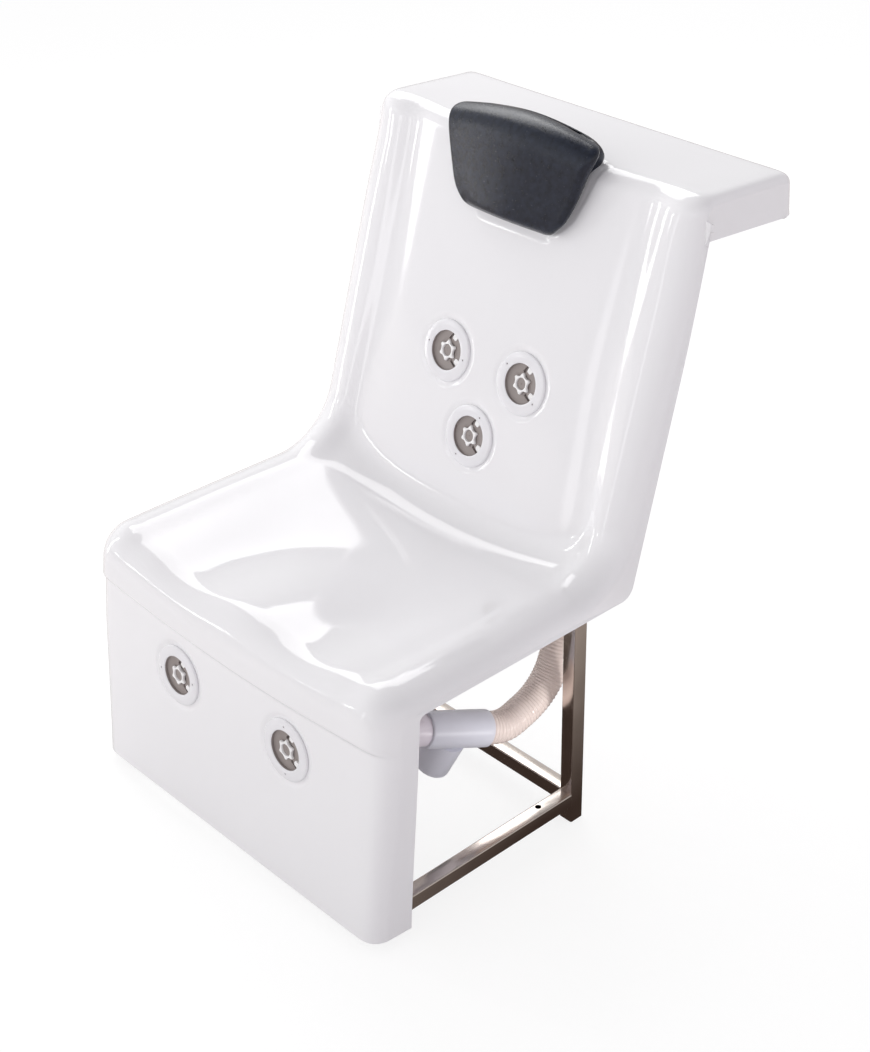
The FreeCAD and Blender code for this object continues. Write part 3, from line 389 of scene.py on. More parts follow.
def legStations(length, bands):   # shares of a leg, finer inside the bands (mm along the leg)
    places = stepped(length, lambda at: fineStep if any(a <= at + 0.01 < b for a, b in bands)
                     else coarseStep)
    if len(places) > 2 and places[-1] - places[-2] < fineStep * 0.5:
        places.pop(-2)
    return [p / length for p in places]


def runAt(height):
    return toe + size.apronLean * (height - size.apronFoot)


def onRake(point, height):
    return (point[0] + (height - point[1]) * math.tan(rake), height)


jetPlaces = Values(spread=80.8, high=633, low=525, apronSpread=128.5, apronHeight=249)
jetFar = 66   # mm round a jet's centre where the mesh is fine
jetUp = jetPlaces.apronHeight - footZ
legSteps = [   # apron, pan, back, shelf and the shelf's lip
    legStations(366, [(jetUp - jetFar, jetUp + jetFar), (315, 366)]),
    legStations(330, []),
    legStations(460, [(20, 300), (330, 460)]),
    evenSteps(12),
    evenSteps(6),
]
arcSteps = [22, 26, 12, 8]   # the bends between the legs


def placeOn(leg, step):   # x.1 to x.9 on a leg, and on to x.1 in a bend
    if leg == 0:
        return 0.9 * step
    return leg + 0.1 + (0.8 if leg < 4 else 0.9) * step


def roundedPath(corners, radii):   # stations (point, direction, place) on legs joined by tangent arcs
    points = [Vector((0, y, z)) for y, z in corners]
    starts, ends, arcs = [points[0]], [], []
    for *three, radius in zip(points, points[1:], points[2:], radii):
        first, last, *arc = tangentArc(*three, radius)
        ends.append(first)
        starts.append(last)
        arcs.append(arc)
    ends.append(points[-1])
    stations = []
    for leg, (start, end) in enumerate(zip(starts, ends)):
        direction = (end - start).normalized()
        for step in legSteps[leg][min(leg, 1):]:
            stations.append((start + (end - start) * step, direction, placeOn(leg, step)))
        if leg < len(arcs):
            centre, inward, axis, turn = arcs[leg]
            for count in range(1, arcSteps[leg] + 1):
                part = count / arcSteps[leg]
                swing = Matrix.Rotation(turn * part, 3, axis)
                point = centre + swing @ (end - centre)
                stations.append((point, swing @ inward, leg + 0.9 + 0.2 * part))
    return stations


def smooth(value):
    value = min(max(value, 0.0), 1.0)
    return value * value * (3 - 2 * value)


def along(place, knots):   # the knots' value at a place, eased between them
    if place <= knots[0][0]:
        return knots[0][1]
    for (p0, v0), (p1, v1) in zip(knots, knots[1:]):
        if place <= p1:
            return v0 + (v1 - v0) * smooth((place - p0) / (p1 - p0))
    return knots[-1][1]


bends = [size.noseRadius, size.hipRadius, size.shoulderRadius, size.lipRadius]


def innerPath(noseHeight, hipHeight, setBack, hipRadius, drop):
    line = (hip[0] + behind.y * setBack, hip[1] + behind.z * setBack)
    corners = [(runAt(footZ), footZ), (runAt(noseHeight), noseHeight), onRake(line, hipHeight),
               onRake(line, shoulder[1] - drop), lipTop, lipFoot]
    return roundedPath(corners, [bends[0] - 6, hipRadius, bends[2] - 4, bends[3]])


drop = size.creaseDrop
rimCorners = [(runAt(z), z) for z in (footZ, size.rimHeight)] + [hip, shoulder, lipTop, lipFoot]
rimPath = roundedPath(rimCorners, bends)
creaseTop = size.rimHeight - drop
creasePath = innerPath(creaseTop, hip[1] - drop, size.creaseBack, bends[1] - 25, drop * 0.5)
centrePath = innerPath(size.panFront, size.panRear, size.panelBack, size.panHip, drop * 0.6)


def flangeEdge():   # lower edge of the side flange, with a station for each of the rim's
    slope = size.shelfFall / (lipTop[0] - shoulder[0])
    rear = lipFoot[0] - size.shelfRoll - 5
    inner, top = toe + size.backFlangeTop, size.shelfFlange
    end = top - slope * (rear - inner)
    corners = [(toe + size.apronFlange, footZ), (toe + size.apronFlangeTop, size.seatFlange),
               (toe + size.backFlangeFoot, size.seatFlange - 1), (inner, top), (rear, end),
               (rear, end - 1)]
    path = roundedPath(corners, [10, 24, 5, 0.2])
    tail = arcSteps[3] + len(legSteps[4]) - 1
    shelf = len(legSteps[3]) - 1
    edge = [station[0] for station in path[:len(path) - tail - shelf]]
    start, finish = edge[-1], Vector((0, rear, lipFoot[1]))
    for count in range(1, shelf + tail + 1):
        edge.append(start + (finish - start) * (count / (shelf + tail)))
    return edge


edgePath = flangeEdge()
seat, crease = size.seatHalf, size.creaseHalf
rollWide, rollDeep = size.rimRoll, size.rimRollDepth
corner, shelf = size.cornerRoll, size.shelfRoll
knots = {   # (place along the shell, value): places count the legs from the apron's foot
    "width": [(0.0, size.footHalf), (0.9, seat), (2.6, seat), (3.2, size.shelfHalf)],
    "roll": [(0.0, corner), (0.6, corner), (1.1, rollWide), (2.8, rollWide), (3.2, shelf)],
    "depth": [(0.0, corner), (0.9, rollDeep + 4), (1.3, rollDeep), (2.8, rollDeep), (3.1, shelf)],
    "crease": [(0.9, crease + 2), (1.5, crease + 6), (1.85, crease - 4), (2.05, crease + 8),
               (2.5, crease - 10), (2.95, crease)],
    "bowl": [(1.2, 2.0), (1.9, 2.2), (2.3, 5.5), (4.0, 5.5)],
    "sag": [(1.1, 0.0), (1.5, 1.0), (1.9, 0.0)],
    "pommel": [(0.93, 0.0), (1.1, 1.0), (1.25, 1.0), (1.7, 0.0)],
    "heel": [(1.62, 0.0), (1.93, 1.0), (2.1, 0.0)],
}


jetsReach = 196   # mm from the middle line with a fine mesh
bowl = stepped(crease, lambda at: fineStep if at < jetsReach else coarseStep * 0.75)
bowlSteps = [place / crease for place in bowl]
slopeSteps = evenSteps(10)[1:]
rollCount, flangeCount = 12, 14


def shellSection(index):   # half a cross section, from the middle line to the flange's edge
    rim, direction, place = rimPath[index]
    crease, centre = creasePath[index][0], centrePath[index][0]
    inward = Vector((0, direction.z, -direction.y))
    half, rollWidth, rollDepth = (along(place, knots[k]) for k in ("width", "roll", "depth"))
    crest = half - rollWidth
    creaseX = min(along(place, knots["crease"]), crest - size.rimInner * 0.9)
    power = along(place, knots["bowl"])
    pommel = along(place, knots["pommel"]) * size.pommelRise
    sag = along(place, knots["sag"]) * size.panSag - along(place, knots["heel"]) * size.heelRise
    over = smooth((rim.z - size.creaseHeight + 5) / 10) if place < 1 else 1.0
    over = over * (1 - smooth((place - 0.92) / 0.2)) * size.noseOver
    points = []
    across = [creaseX * s for s in bowlSteps] + [creaseX + (crest - creaseX) * s for s in slopeSteps]
    for x in across:
        if x >= creaseX:
            base = crease + (rim - crease) * smooth((x - creaseX) / (crest - creaseX))
        else:
            share = x / creaseX
            wave = math.cos(2 * math.pi * x / size.pommelPitch) * (1 - share ** 4)
            dip = sag * (1 - share ** 2) - pommel * wave
            base = centre + (crease - centre) * share ** power + inward * dip
        points.append(Vector((x, base.y, base.z)) - inward * over)
    for s in evenSteps(rollCount)[1:]:
        angle = math.pi / 2 * s
        depth = rollDepth * (1 - math.cos(angle)) - over * math.cos(angle) ** 2
        points.append(Vector((crest + rollWidth * math.sin(angle), rim.y, rim.z)) + inward * depth)
    root, edge = points[-1], edgePath[index]
    tip = Vector((half + size.flare, edge.y, edge.z))
    for s in evenSteps(flangeCount)[1:]:
        points.append(root + (tip - root) * s)
    return points


def lineDepth(height):
    return hip[0] + (height - hip[1]) * math.tan(rake)


def onBack(x, height, offset=0.0):
    return Vector((x, lineDepth(height), height)) + behind * offset


def onApron(x, height, offset=0.0):
    return Vector((x, runAt(height), height)) + apronIn * offset


spread, apronSpread, plate = jetPlaces.spread, jetPlaces.apronSpread, size.panelBack
high, low, apronHeight = jetPlaces.high, jetPlaces.low, jetPlaces.apronHeight
jets = [Values(name="jet_" + name, seat=place, inward=way, turn=turn) for name, place, way, turn in (
    ("back_left", onBack(-spread, high, plate), behind, 174),
    ("back_right", onBack(spread, high, plate), behind, 147),
    ("back_low", onBack(0, low, plate), behind, 65),
    ("front_left", onApron(-apronSpread, apronHeight), apronIn, 5),
    ("front_right", onApron(apronSpread, apronHeight), apronIn, 94),
)]
dish = Values(radius=55, depth=2, soft=6.5, reach=12, near=25, hole=36, holeNear=30)
pocket = Values(depth=2.2, inset=14, margin=7, soft=9, low=852, high=958, fade=25,
                foot=830, half=190, rear=25)
pillowRows = [   # height, half width, proud, buried, draw-in at the back
    (852.0, 78, 14, 4, 22), (855.0, 88, 20, 4, 22), (862.0, 98, 25, 4, 22), (880.0, 114, 28, 4, 22),
    (912.0, 128, 31, 4, 22), (944.0, 138, 36, 12, 22), (960.0, 143, 37, 20, 22),
    (972.0, 147, 34, 25, 25), (982.0, 147, 28, 20, 29), (989.5, 141, 20, 12, 32),
    (994.0, 128, 11, 6, 32), (995.5, 104, 3, 2, 30),
]


def pillowHalf(height):
    for low, high in zip(pillowRows, pillowRows[1:]):
        if height <= high[0]:
            return low[1] + (high[1] - low[1]) * max((height - low[0]) / (high[0] - low[0]), 0)
    return pillowRows[-1][1]


def pocketAt(point):   # depth of the moulded seat for the pillow
    side = abs(point.x) - pillowHalf(point.z) + pocket.inset
    below = (pocket.low - point.z) / math.cos(rake)
    out = math.hypot(max(side, 0), max(below, 0)) if max(side, below) > 0 else max(side, below)
    fade = smooth((pocket.high + pocket.fade - point.z) / pocket.fade)
    return pocket.depth * smooth((pocket.margin + pocket.soft - out) / pocket.soft) * fade


def gridNormal(rows, i, j):
    ahead = rows[min(i + 1, len(rows) - 1)][j] - rows[max(i - 1, 0)][j]
    across = rows[i][min(j + 1, len(rows[i]) - 1)] - rows[i][max(j - 1, 0)]
    return across.cross(ahead).normalized()


def softened(rows, rounds, keep):   # eases the grid's creases, its edges stay
    for _ in range(rounds):
        eased = [list(row) for row in rows]
        for i in range(1, len(rows) - 1):
            for j in range(1, len(rows[i]) - flangeCount - 2):
                if j == 1 or abs(rows[i][j].x) < 1:
                    continue
                side = (rows[i][j - 1] + rows[i][j + 1]) / 2
                eased[i][j] = rows[i][j] * keep + side * (1 - keep)
        rows = eased
    return rows


def shellRows():
    halves = softened([shellSection(index) for index in range(len(rimPath))], 10, 0.5)
    rows = [[Vector((-p.x, p.y, p.z)) for p in reversed(half[1:])] + half for half in halves]
    foot = size.apronFoot
    first = next(k for k, row in enumerate(rows) if row[len(row) // 2].z >= foot)
    rows = rows[first - 1:]
    rows[0] = [Vector((p.x, runAt(foot) + (p.y - runAt(p.z)), foot)) for p in rows[0]]
    return rows


def fromAxis(point, jet):   # distance from a jet's axis, and depth along it
    gap = point - jet.seat
    depth = gap.dot(jet.inward)
    return (gap - jet.inward * depth).length, depth


def dished(point):   # how far a point sinks for the jets' dishes and the pillow's pocket
    move = 0.0
    for jet in jets:
        out, depth = fromAxis(point, jet)
        if out < dish.radius + dish.reach and abs(depth) < dish.near:
            share = smooth((dish.radius + dish.soft / 2 - out) / dish.soft)
            move = max(move, dish.depth * share - depth * share)
    rear = shoulder[0] + pocket.rear
    if point.z > pocket.foot and abs(point.x) < pocket.half and point.y < rear:
        move = max(move, pocketAt(point))
    return move


def inHole(point):
    places = [fromAxis(point, jet) for jet in jets]
    return any(abs(depth) < dish.holeNear and out < dish.hole for out, depth in places)


def buildShell():
    rows = shellRows()
    width = len(rows[0])
    points = []
    for i, row in enumerate(rows):
        for j, point in enumerate(row):
            move = dished(point)
            points.append(point - gridNormal(rows, i, j) * move if move else point)
    faces = []
    for i in range(len(rows) - 1):
        for a in range(i * width, (i + 1) * width - 1):
            if not inHole((points[a] + points[a + width + 1]) / 2):
                faces.append((a, a + 1, a + width + 1, a + width))
    obj = makePiece("seatShell", points, faces, "shell", "base", ["seat_shell"], 50)
    solid = obj.modifiers.new("wall", "SOLIDIFY")
    solid.thickness = size.wall * mm
    facing = obj.data.polygons[len(obj.data.polygons) // 2].normal
    solid.offset = 1 if facing.y > 0 else -1   # the wall grows away from the sitter
    bakeModifiers(obj)


buildShell()
print("shell built")


# Head pillow, a moulded cushion with a rounded front and drawn-in sides
pillow = Values(
    root=8.0, crown=9, crownFrom=25.0, cheek=((7, 0.32), (0, 0.68), (5, 0.93)), round=16,
    rowSteps=6, ringSteps=5, arch=12, archLow=912, archHigh=990,
    endShares=(0.94, 0.8, 0.5, 0.02), endSwell=1.2,
)


def pillowOutline(height, half, proud, buried, drawIn):   # one level of the pillow
    root = max(0.0, pillow.root - proud)
    crown = pillow.crown * min(1.0, max(proud, 0) / pillow.crownFrom)
    side = [(drawIn, buried), (20, root)]
    side += [(draw, root - (root + proud) * share) for draw, share in pillow.cheek]
    points = [(half - draw, depth) for draw, depth in side + [(pillow.round, -proud)]]
    face = half - pillow.round
    points += [(face * s, -proud - crown * (1 - s * s)) for s in (0.8, 0.6, 0.4, 0.2, 0.0)]
    points += [(-x, depth) for x, depth in reversed(points[:-1])]
    points += [((half - drawIn) * s, buried) for s in (-0.6, -0.2, 0.2, 0.6)]
    low, high = pillow.archLow, pillow.archHigh
    arch = pillow.arch * smooth((height - low) / (high - low))
    return [onBack(x, height + arch * (1 - (x / half) ** 2), size.panelBack + depth)
            for x, depth in points]


def curveThrough(before, start, end, after, t):   # smooth curve that passes through its points
    bend = (end - before) * 0.5 * (t ** 3 - 2 * t ** 2 + t) + (after - start) * 0.5 * (t ** 3 - t ** 2)
    return start * (2 * t ** 3 - 3 * t ** 2 + 1) + end * (3 * t ** 2 - 2 * t ** 3) + bend


def denser(items, steps, closed):   # adds points between the items, on a curve through them
    count = len(items)
    result = []
    for k in range(count if closed else count - 1):
        near = [k + shift for shift in (-1, 0, 1, 2)]
        ends = [items[n % count if closed else min(max(n, 0), count - 1)] for n in near]
        result += [curveThrough(*ends, step / steps) for step in range(steps)]
    return result if closed else result + [items[-1]]


def pillowRings():
    rows = [pillowOutline(*row) for row in pillowRows]
    columns = [denser([row[k] for row in rows], pillow.rowSteps, False) for k in range(len(rows[0]))]
    rings = zip(*columns)
    return [denser(list(ring), pillow.ringSteps, True) for ring in rings]


def buildPillow():
    rings = pillowRings()
    sides = len(rings[0])
    closing = []
    for ring, swellUp in ((rings[0], -pillow.endSwell), (rings[-1], pillow.endSwell)):
        middle = sum(ring, Vector()) / sides
        closing.append([[middle + (p - middle) * share + up * (1 - share ** 2) * swellUp for p in ring]
                        for share in pillow.endShares])
    rings = list(reversed(closing[0])) + rings + closing[1]
    points = [p for ring in rings for p in ring]
    faces = ringFaces(len(rings), sides, False)
    faces += [tuple(reversed(range(sides))), tuple(range(len(points) - sides, len(points)))]
    obj = makePiece("headPillow", points, faces, "pillow_skin", "pillow", ["head_pillow"], 180)


buildPillow()
print("pillow built")


# Jets: bezel ring with its grey sleeve, socket with clips, and star nozzle, each turned about its axis
bezel = Values(outer=49, bore=31.2, top=2.8, dot=1.5, dotPlace=39, dotDepth=1.6, sleeve=31.95)
socket = Values(bore=32.2, outer=34, flange=44, floor=-2.6, hub=11.2, hubEnd=-38, post=8.6,
                postTop=-1.6, end=-52)
clips = [Values(turn=64, slot=((-1.6, 18.0), (6.3, 29.1))),
         Values(turn=-28, slot=((9.1, -13.8), (21.9, -21.6)))]
clipSize = Values(slotHalf=2.3, hook=((22.0, 3.0), (24.5, 4.4), (29.8, 4.8), (30.2, 0.0)))
star = Values(reach=17, valley=12.4, root=11, journal=10.9, bore=9.2, lobes=6, turn=30,
              power=1.8, front=0.9, rear=-34, sides=144)


def cutWith(obj, points, faces):   # takes a closed form out of a piece
    tool = addObject("cutter", meshOf("cutter", points, faces))
    cut = obj.modifiers.new("cut", "BOOLEAN")
    cut.operation = "DIFFERENCE"
    cut.solver = "EXACT"
    cut.object = tool
    bakeModifiers(obj, 35)
    bpy.data.objects.remove(tool)


def prismForm(outline, low, high, axes):   # outline in the plane, low and high along the last axis
    base, across, upward, out = axes
    points = [base + across * x + upward * y + out * z for z in (low, high) for x, y in outline]
    count = len(outline)
    faces = ringFaces(2, count, False) + [tuple(reversed(range(count))), tuple(range(count, 2 * count))]
    return points, faces


def discForm(x, y, radius, low, high, axes, sides=20):
    outline = [(x + radius * math.cos(a), y + radius * math.sin(a)) for a in turns(sides)]
    return prismForm(outline, low, high, axes)


def jetAxes(jet):
    out = -jet.inward
    return (jet.seat, *basis(out, xAxis), out)


def jetLathe(outline, jet):
    return lathe(outline, jet.seat, -jet.inward)


def dotPlaces(jet):
    angle, reach = math.radians(jet.turn), bezel.dotPlace
    return [(sign * reach * math.cos(angle), sign * reach * math.sin(angle)) for sign in (-1, 1)]


def buildBezel(jet):
    name, axes, body = jet.name, jetAxes(jet), jet.name + "_ring"
    o, b, t, dot = bezel.outer, bezel.bore, bezel.top, bezel.dot
    pit = t - bezel.dotDepth
    outline = [(b, 1.2), (o - 2.2, 1.2), (o - 2.2, -1.9), (o, -1.9), (o, 0.0), (o - 0.7, 1.3),
               (o - 3.0, t - 0.7), (o - 9, t), (b + 5, t), (b + 1.6, t - 0.25), (b + 0.1, t - 0.9)]
    form = jetLathe(rounded(outline, 0.7), jet)
    obj = makePiece(name + "Bezel", *form, "bezel_white", body, [name + "_bezel"])
    cutWith(obj, *joined(discForm(x, y, dot, pit, t + 4, axes) for x, y in dotPlaces(jet)))
    s = bezel.sleeve
    forms = [jetLathe([(b + 0.05, -2.4), (s, -2.4), (s, 1.15), (b + 0.05, 1.15)], jet)]
    forms += [discForm(x, y, dot - 0.05, 1.25, pit + 0.15, axes) for x, y in dotPlaces(jet)]
    makePiece(name + "Sleeve", *joined(forms), "socket_grey", body)


def slotForm(clip, axes):   # a cutter for the slot beside a clip
    start, end = (Vector(p) for p in clip.slot)
    way = (end - start).normalized()
    side = Vector((-way.y, way.x)) * clipSize.slotHalf
    corners = (start - side, end - side, end + side, start + side)
    return prismForm(corners, socket.floor - 4, socket.floor + 3, axes)


def hookForm(clip, axes):
    angle = math.radians(clip.turn)
    way = Vector((math.cos(angle), math.sin(angle)))
    half, side = clipSize.hook, Vector((-way.y, way.x))
    shape = [(r, -w) for r, w in half] + [(r, w) for r, w in reversed(half[:-1])]
    outline = [way * r + side * w for r, w in shape]
    return prismForm(outline, socket.floor - 0.5, socket.floor + 2.0, axes)


def buildSocket(jet):
    name, axes, s, low = jet.name, jetAxes(jet), socket, socket.floor
    outline = [(0.5, s.end), (s.outer, s.end), (s.outer, -0.5), (s.flange, -0.5), (s.flange, 1.0),
               (s.bore, 1.0), (s.bore, low), (20, low - 0.3), (14, low - 1.6), (s.hub, low - 2.4),
               (s.hub, s.hubEnd), (s.post, s.hubEnd), (s.post, s.postTop), (0.5, s.postTop)]
    form = jetLathe(rounded(outline, 0.5), jet)
    obj = makePiece(name + "Socket", *form, "socket_grey", "base", [name + "_socket"])
    cutWith(obj, *joined(slotForm(clip, axes) for clip in clips))
    makePiece(name + "Clips", *joined(hookForm(clip, axes) for clip in clips), "nozzle_white", "base")


def buildNozzle(jet):
    name, (base, across, upward, out) = jet.name, jetAxes(jet)
    reach, bore, journal, front, rear = star.reach, star.bore, star.journal, star.front, star.rear
    profile = [(bore, front - 1.4), (bore + 0.5, front - 0.3), (bore + 1.2, front), (reach - 2.4, front),
               (reach - 0.9, front - 0.5), (reach, front - 1.8), (reach, front - 4.0),
               (reach - 1.2, front - 4.6), (journal, front - 4.8), (journal, rear), (bore, rear)]
    start = math.radians(star.turn)
    points = []
    for r, z in profile:
        share = max(0.0, (r - star.root) / (reach - star.root))
        for angle in turns(star.sides):
            lobe = (0.5 + 0.5 * math.cos(star.lobes * (angle - start))) ** star.power
            radius = r - (reach - star.valley) * (1 - lobe) * share
            spoke = across * (radius * math.cos(angle)) + upward * (radius * math.sin(angle))
            points.append(base + out * z + spoke)
    faces = ringFaces(len(profile), star.sides, True)
    makePiece(name + "Nozzle", points, faces, "nozzle_white", name + "_star", [name + "_nozzle"])


for jet in jets:
    buildBezel(jet)
    buildSocket(jet)
    buildNozzle(jet)
print("jets built")


# Square steel tube with rounded corners, one per straight CAD member that shows
tubeSize = Values(wall=1.5, corner=2.2, steps=4)
fixing = Values(x=303.75, fromToe=361, radius=5, low=20, high=60)   # hole in the side rail
ground = (Vector(), xAxis, yAxis, zAxis)


def tubeOutline(low, high, inset):   # rounded rectangle between two corners of the plane
    radius = tubeSize.corner - inset
    (a0, b0), (a1, b1) = (v + inset for v in low), (v - inset for v in high)
    centres = ((a1 - radius, b1 - radius), (a0 + radius, b1 - radius), (a0 + radius, b0 + radius),
               (a1 - radius, b0 + radius))
    points = []
    for corner, (cx, cy) in enumerate(centres):
        for s in range(tubeSize.steps + 1):
            angle = math.radians(90 * corner + 90 * s / tubeSize.steps)
            points.append((cx + radius * math.cos(angle), cy + radius * math.sin(angle)))
    return points


def buildTube(nodeName, axis):
    low, high = (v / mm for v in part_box(nodeName))
    first, second = (k for k in range(3) if k != axis)
    outer, inner = (tubeOutline((low[first], low[second]), (high[first], high[second]), inset)
                    for inset in (0, tubeSize.wall))
    points = []
    ends = ((outer, low[axis]), (outer, high[axis]), (inner, high[axis]), (inner, low[axis]))
    for outline, end in ends:
        for a, b in outline:
            point = Vector()
            point[axis], point[first], point[second] = end, a, b
            points.append(point)
    faces = ringFaces(4, len(outer), True)
    return makePiece(nodeName + "Tube", points, faces, "stainless_tube", "base", [nodeName], 30)


for word, sign in (("left", -1), ("right", 1)):
    for nodeName in ("frame_leg_front_", "frame_leg_rear_"):
        buildTube(nodeName + word, 2)
    rail = buildTube("frame_rail_low_" + word, 1)
    place = (sign * fixing.x, toe + fixing.fromToe)
    cutWith(rail, *discForm(*place, fixing.radius, fixing.low, fixing.high, ground, 32))
    buildTube("frame_rail_top_" + word, 1)
for ending in ("rail_low_front", "rail_low_rear", "cross_front", "cross_rear", "shelf_rail"):
    buildTube("frame_" + ending, 0)
print("frame built")


# Pipework
class Route:   # straight runs and tangent arcs
    def __init__(self, points, radii):
        self.pieces = []
        start = points[0]
        for *three, radius in zip(points, points[1:], points[2:], radii):
            first, last, centre, inward, axis, turn = tangentArc(*three, radius)
            self.pieces.append((start, inward, (first - start).length, None, None))
            self.pieces.append((first, inward, radius * turn, centre, axis.normalized()))
            start = last
        rest = points[-1] - start
        self.pieces.append((start, rest.normalized(), rest.length, None, None))
        self.length = sum(piece[2] for piece in self.pieces)

    def at(self, distance):
        for start, heading, length, centre, axis in self.pieces:
            if distance <= length + 1e-6:
                break
            distance -= length
        if centre is None:
            return start + heading * distance, heading
        spoke = start - centre
        swing = Matrix.Rotation(distance / spoke.length, 3, axis)
        return centre + swing @ spoke, swing @ heading


def sweep(route, profile, sides, steady):   # rings of (distance, radius), joined in a loop
    points = []
    for distance, radius in profile:
        centre, heading = route.at(min(max(distance, 0), route.length))
        points += ring(centre, *basis(heading, steady), radius, sides)
    return points, ringFaces(len(profile), sides, True)


def pipeProfile(length, outer, inner):
    steps = evenSteps(max(2, int(length / 6)))
    return [(length * s, outer) for s in steps] + [(length * (1 - s), inner) for s in steps]


pipe = Values(outer=24.1, inner=20.9, mouth=24.25, socket=28.6, depthIn=28, branch=80,
              x=size.seatHalf - 101)
frontY = toe + 146.5
frontZ = jetPlaces.apronHeight + apronIn.z * ((frontY - jets[3].seat.y) / apronIn.y)
teeFront = Vector((pipe.x - 26, toe + 211.4, frontZ - 6.9))
teeRear = Vector((pipe.x, toe + 311.7, frontZ - 42))
run = (teeFront - teeRear).normalized()
leaning = Vector((-0.375, -0.219, -0.901))   # the branch's direction in the photo
branchWay = (leaning - run * leaning.dot(run)).normalized()
junction = teeRear + run * ((teeFront - teeRear).length * 0.54)


def mouthProfile(length):   # the outside of a socketed tube, with rounded lips
    outer, bore = pipe.socket, pipe.mouth
    lip = [(0, bore + 0.8), (0.5, outer - 0.9), (1.4, outer - 0.2)]
    body = lip + [(2.6, outer)] + [(2.6 + (length - 5.2) * s, outer) for s in evenSteps(10)[1:]]
    return body + [(length - distance, radius) for distance, radius in reversed(lip)]


def buildTee():
    length = (teeFront - teeRear).length
    outer, mouth, inner, deep, arm = pipe.socket, pipe.mouth, pipe.inner, pipe.depthIn, pipe.branch
    straight = Route([teeRear, teeRear + run * 40, teeFront], [1])
    profile = mouthProfile(length) + [(length, mouth), (length - deep, mouth), (length - deep, inner),
                                      (deep, inner), (deep, mouth), (0, mouth)]
    makePiece("pvcTee", *sweep(straight, profile, 96, xAxis), "pvc_blue_grey", "base", ["pvc_tee"], 35)
    branch = Route([junction, junction + branchWay * 40, junction + branchWay * arm], [1])
    body = [(inner * 0.9, outer), (arm - 2.6, outer), (arm - 1.4, outer - 0.2), (arm - 0.5, outer - 0.9),
            (arm, mouth + 0.8), (arm, mouth), (arm - deep, mouth), (arm - deep, inner),
            (inner * 0.9, inner)]
    side = makePiece("pvcTeeBranch", *sweep(branch, body, 96, xAxis), "pvc_blue_grey", "base", (), 35)
    trimBranch(side)


def trimBranch(obj):   # opens the branch where the run's bore passes
    mesh = bmesh.new()
    mesh.from_mesh(obj.data)
    gone = []
    for face in mesh.faces:
        middle = face.calc_center_median() / mm - junction
        if (middle - run * middle.dot(run)).length < pipe.inner + 1.5:
            gone.append(face)
    bmesh.ops.delete(mesh, geom=gone, context="FACES")
    mesh.to_mesh(obj.data)
    mesh.free()


depthIn = pipe.depthIn
frontRoute = Route([teeFront - run * (depthIn - 0.5), teeFront + run * 45, Vector((164, frontY, frontZ)),
                    Vector((-165, frontY, frontZ))], [40, 50])
barb = Values(outer=9.5, inner=6.5, sides=32)


def barbForm(base, way, start, end):
    return lathe(sleeveOutline(barb.inner, barb.outer, start, end, 0.6), base, way, barb.sides)


def buildFrontPipe():
    profile = pipeProfile(frontRoute.length, pipe.outer, pipe.inner)
    forms = [sweep(frontRoute, profile, 64, zAxis)]
    for jet in jets[3:]:
        base = Vector((jet.seat.x, frontY, frontZ)) - apronIn * 20
        forms.append(barbForm(base, -apronIn, 0, 20))
    makePiece("frontPipe", *joined(forms), "pvc_white", "base", ["front_pipe"])


manifold = Values(height=415, behind=39, left=-115, outer=21, inner=18, cap=6)
manifoldAt = onBack(0, manifold.height, size.panelBack + manifold.behind)
elbowAt = Vector((pipe.x, manifoldAt.y, manifoldAt.z))
midBend = Vector((pipe.x + 6, toe + 434, frontZ - 29.7))
rise = (elbowAt - midBend).normalized()
hoseCorners = [teeRear + run * (depthIn - 0.5), teeRear - run * 32, midBend, elbowAt - rise * 30]
hoseRoute = Route(hoseCorners, [70, 98])
hose = Values(crest=25.6, valley=24.4, bore=19.5, pitch=5.9)


def buildHose():
    length = hoseRoute.length
    ribbed = length - 2 * depthIn
    ribs = int(ribbed / hose.pitch)
    pitch = (ribbed - 2) / ribs
    profile = [(0, pipe.outer), (depthIn, pipe.outer)]
    mid, swell = (hose.crest + hose.valley) / 2, (hose.crest - hose.valley) / 2
    perRib = 8
    for k in range(ribs * perRib):
        part = k / perRib
        profile.append((depthIn + 1 + pitch * part, mid - swell * math.cos(2 * math.pi * part)))
    profile += [(length - depthIn, radius) for radius in (hose.valley, pipe.outer)]
    profile.append((length, pipe.outer))
    profile += [(length * (1 - s), hose.bore) for s in evenSteps(50)]
    form = sweep(hoseRoute, profile, 64, xAxis)
    makePiece("ribbedHose", *form, "hose_cream", "base", ["ribbed_hose"], 60)


elbow = Values(leg=58, side=48, bend=30, bore=18, spigot=21.15, spigotDeep=20,
               socketDeep=29)


def buildElbow():
    ends = [elbowAt - rise * elbow.leg, elbowAt, elbowAt - xAxis * elbow.side]
    turn = Route(ends, [elbow.bend])
    length, mouth = turn.length, pipe.mouth
    bore, spigot, deep = elbow.bore, elbow.spigot, elbow.socketDeep
    rear = length - elbow.spigotDeep
    profile = mouthProfile(length) + [(length, spigot), (rear, spigot), (rear, bore), (deep, bore),
                                      (deep, mouth), (0, mouth)]
    makePiece("hoseElbow", *sweep(turn, profile, 64, yAxis), "pvc_blue_grey", "base", ["hose_elbow"])


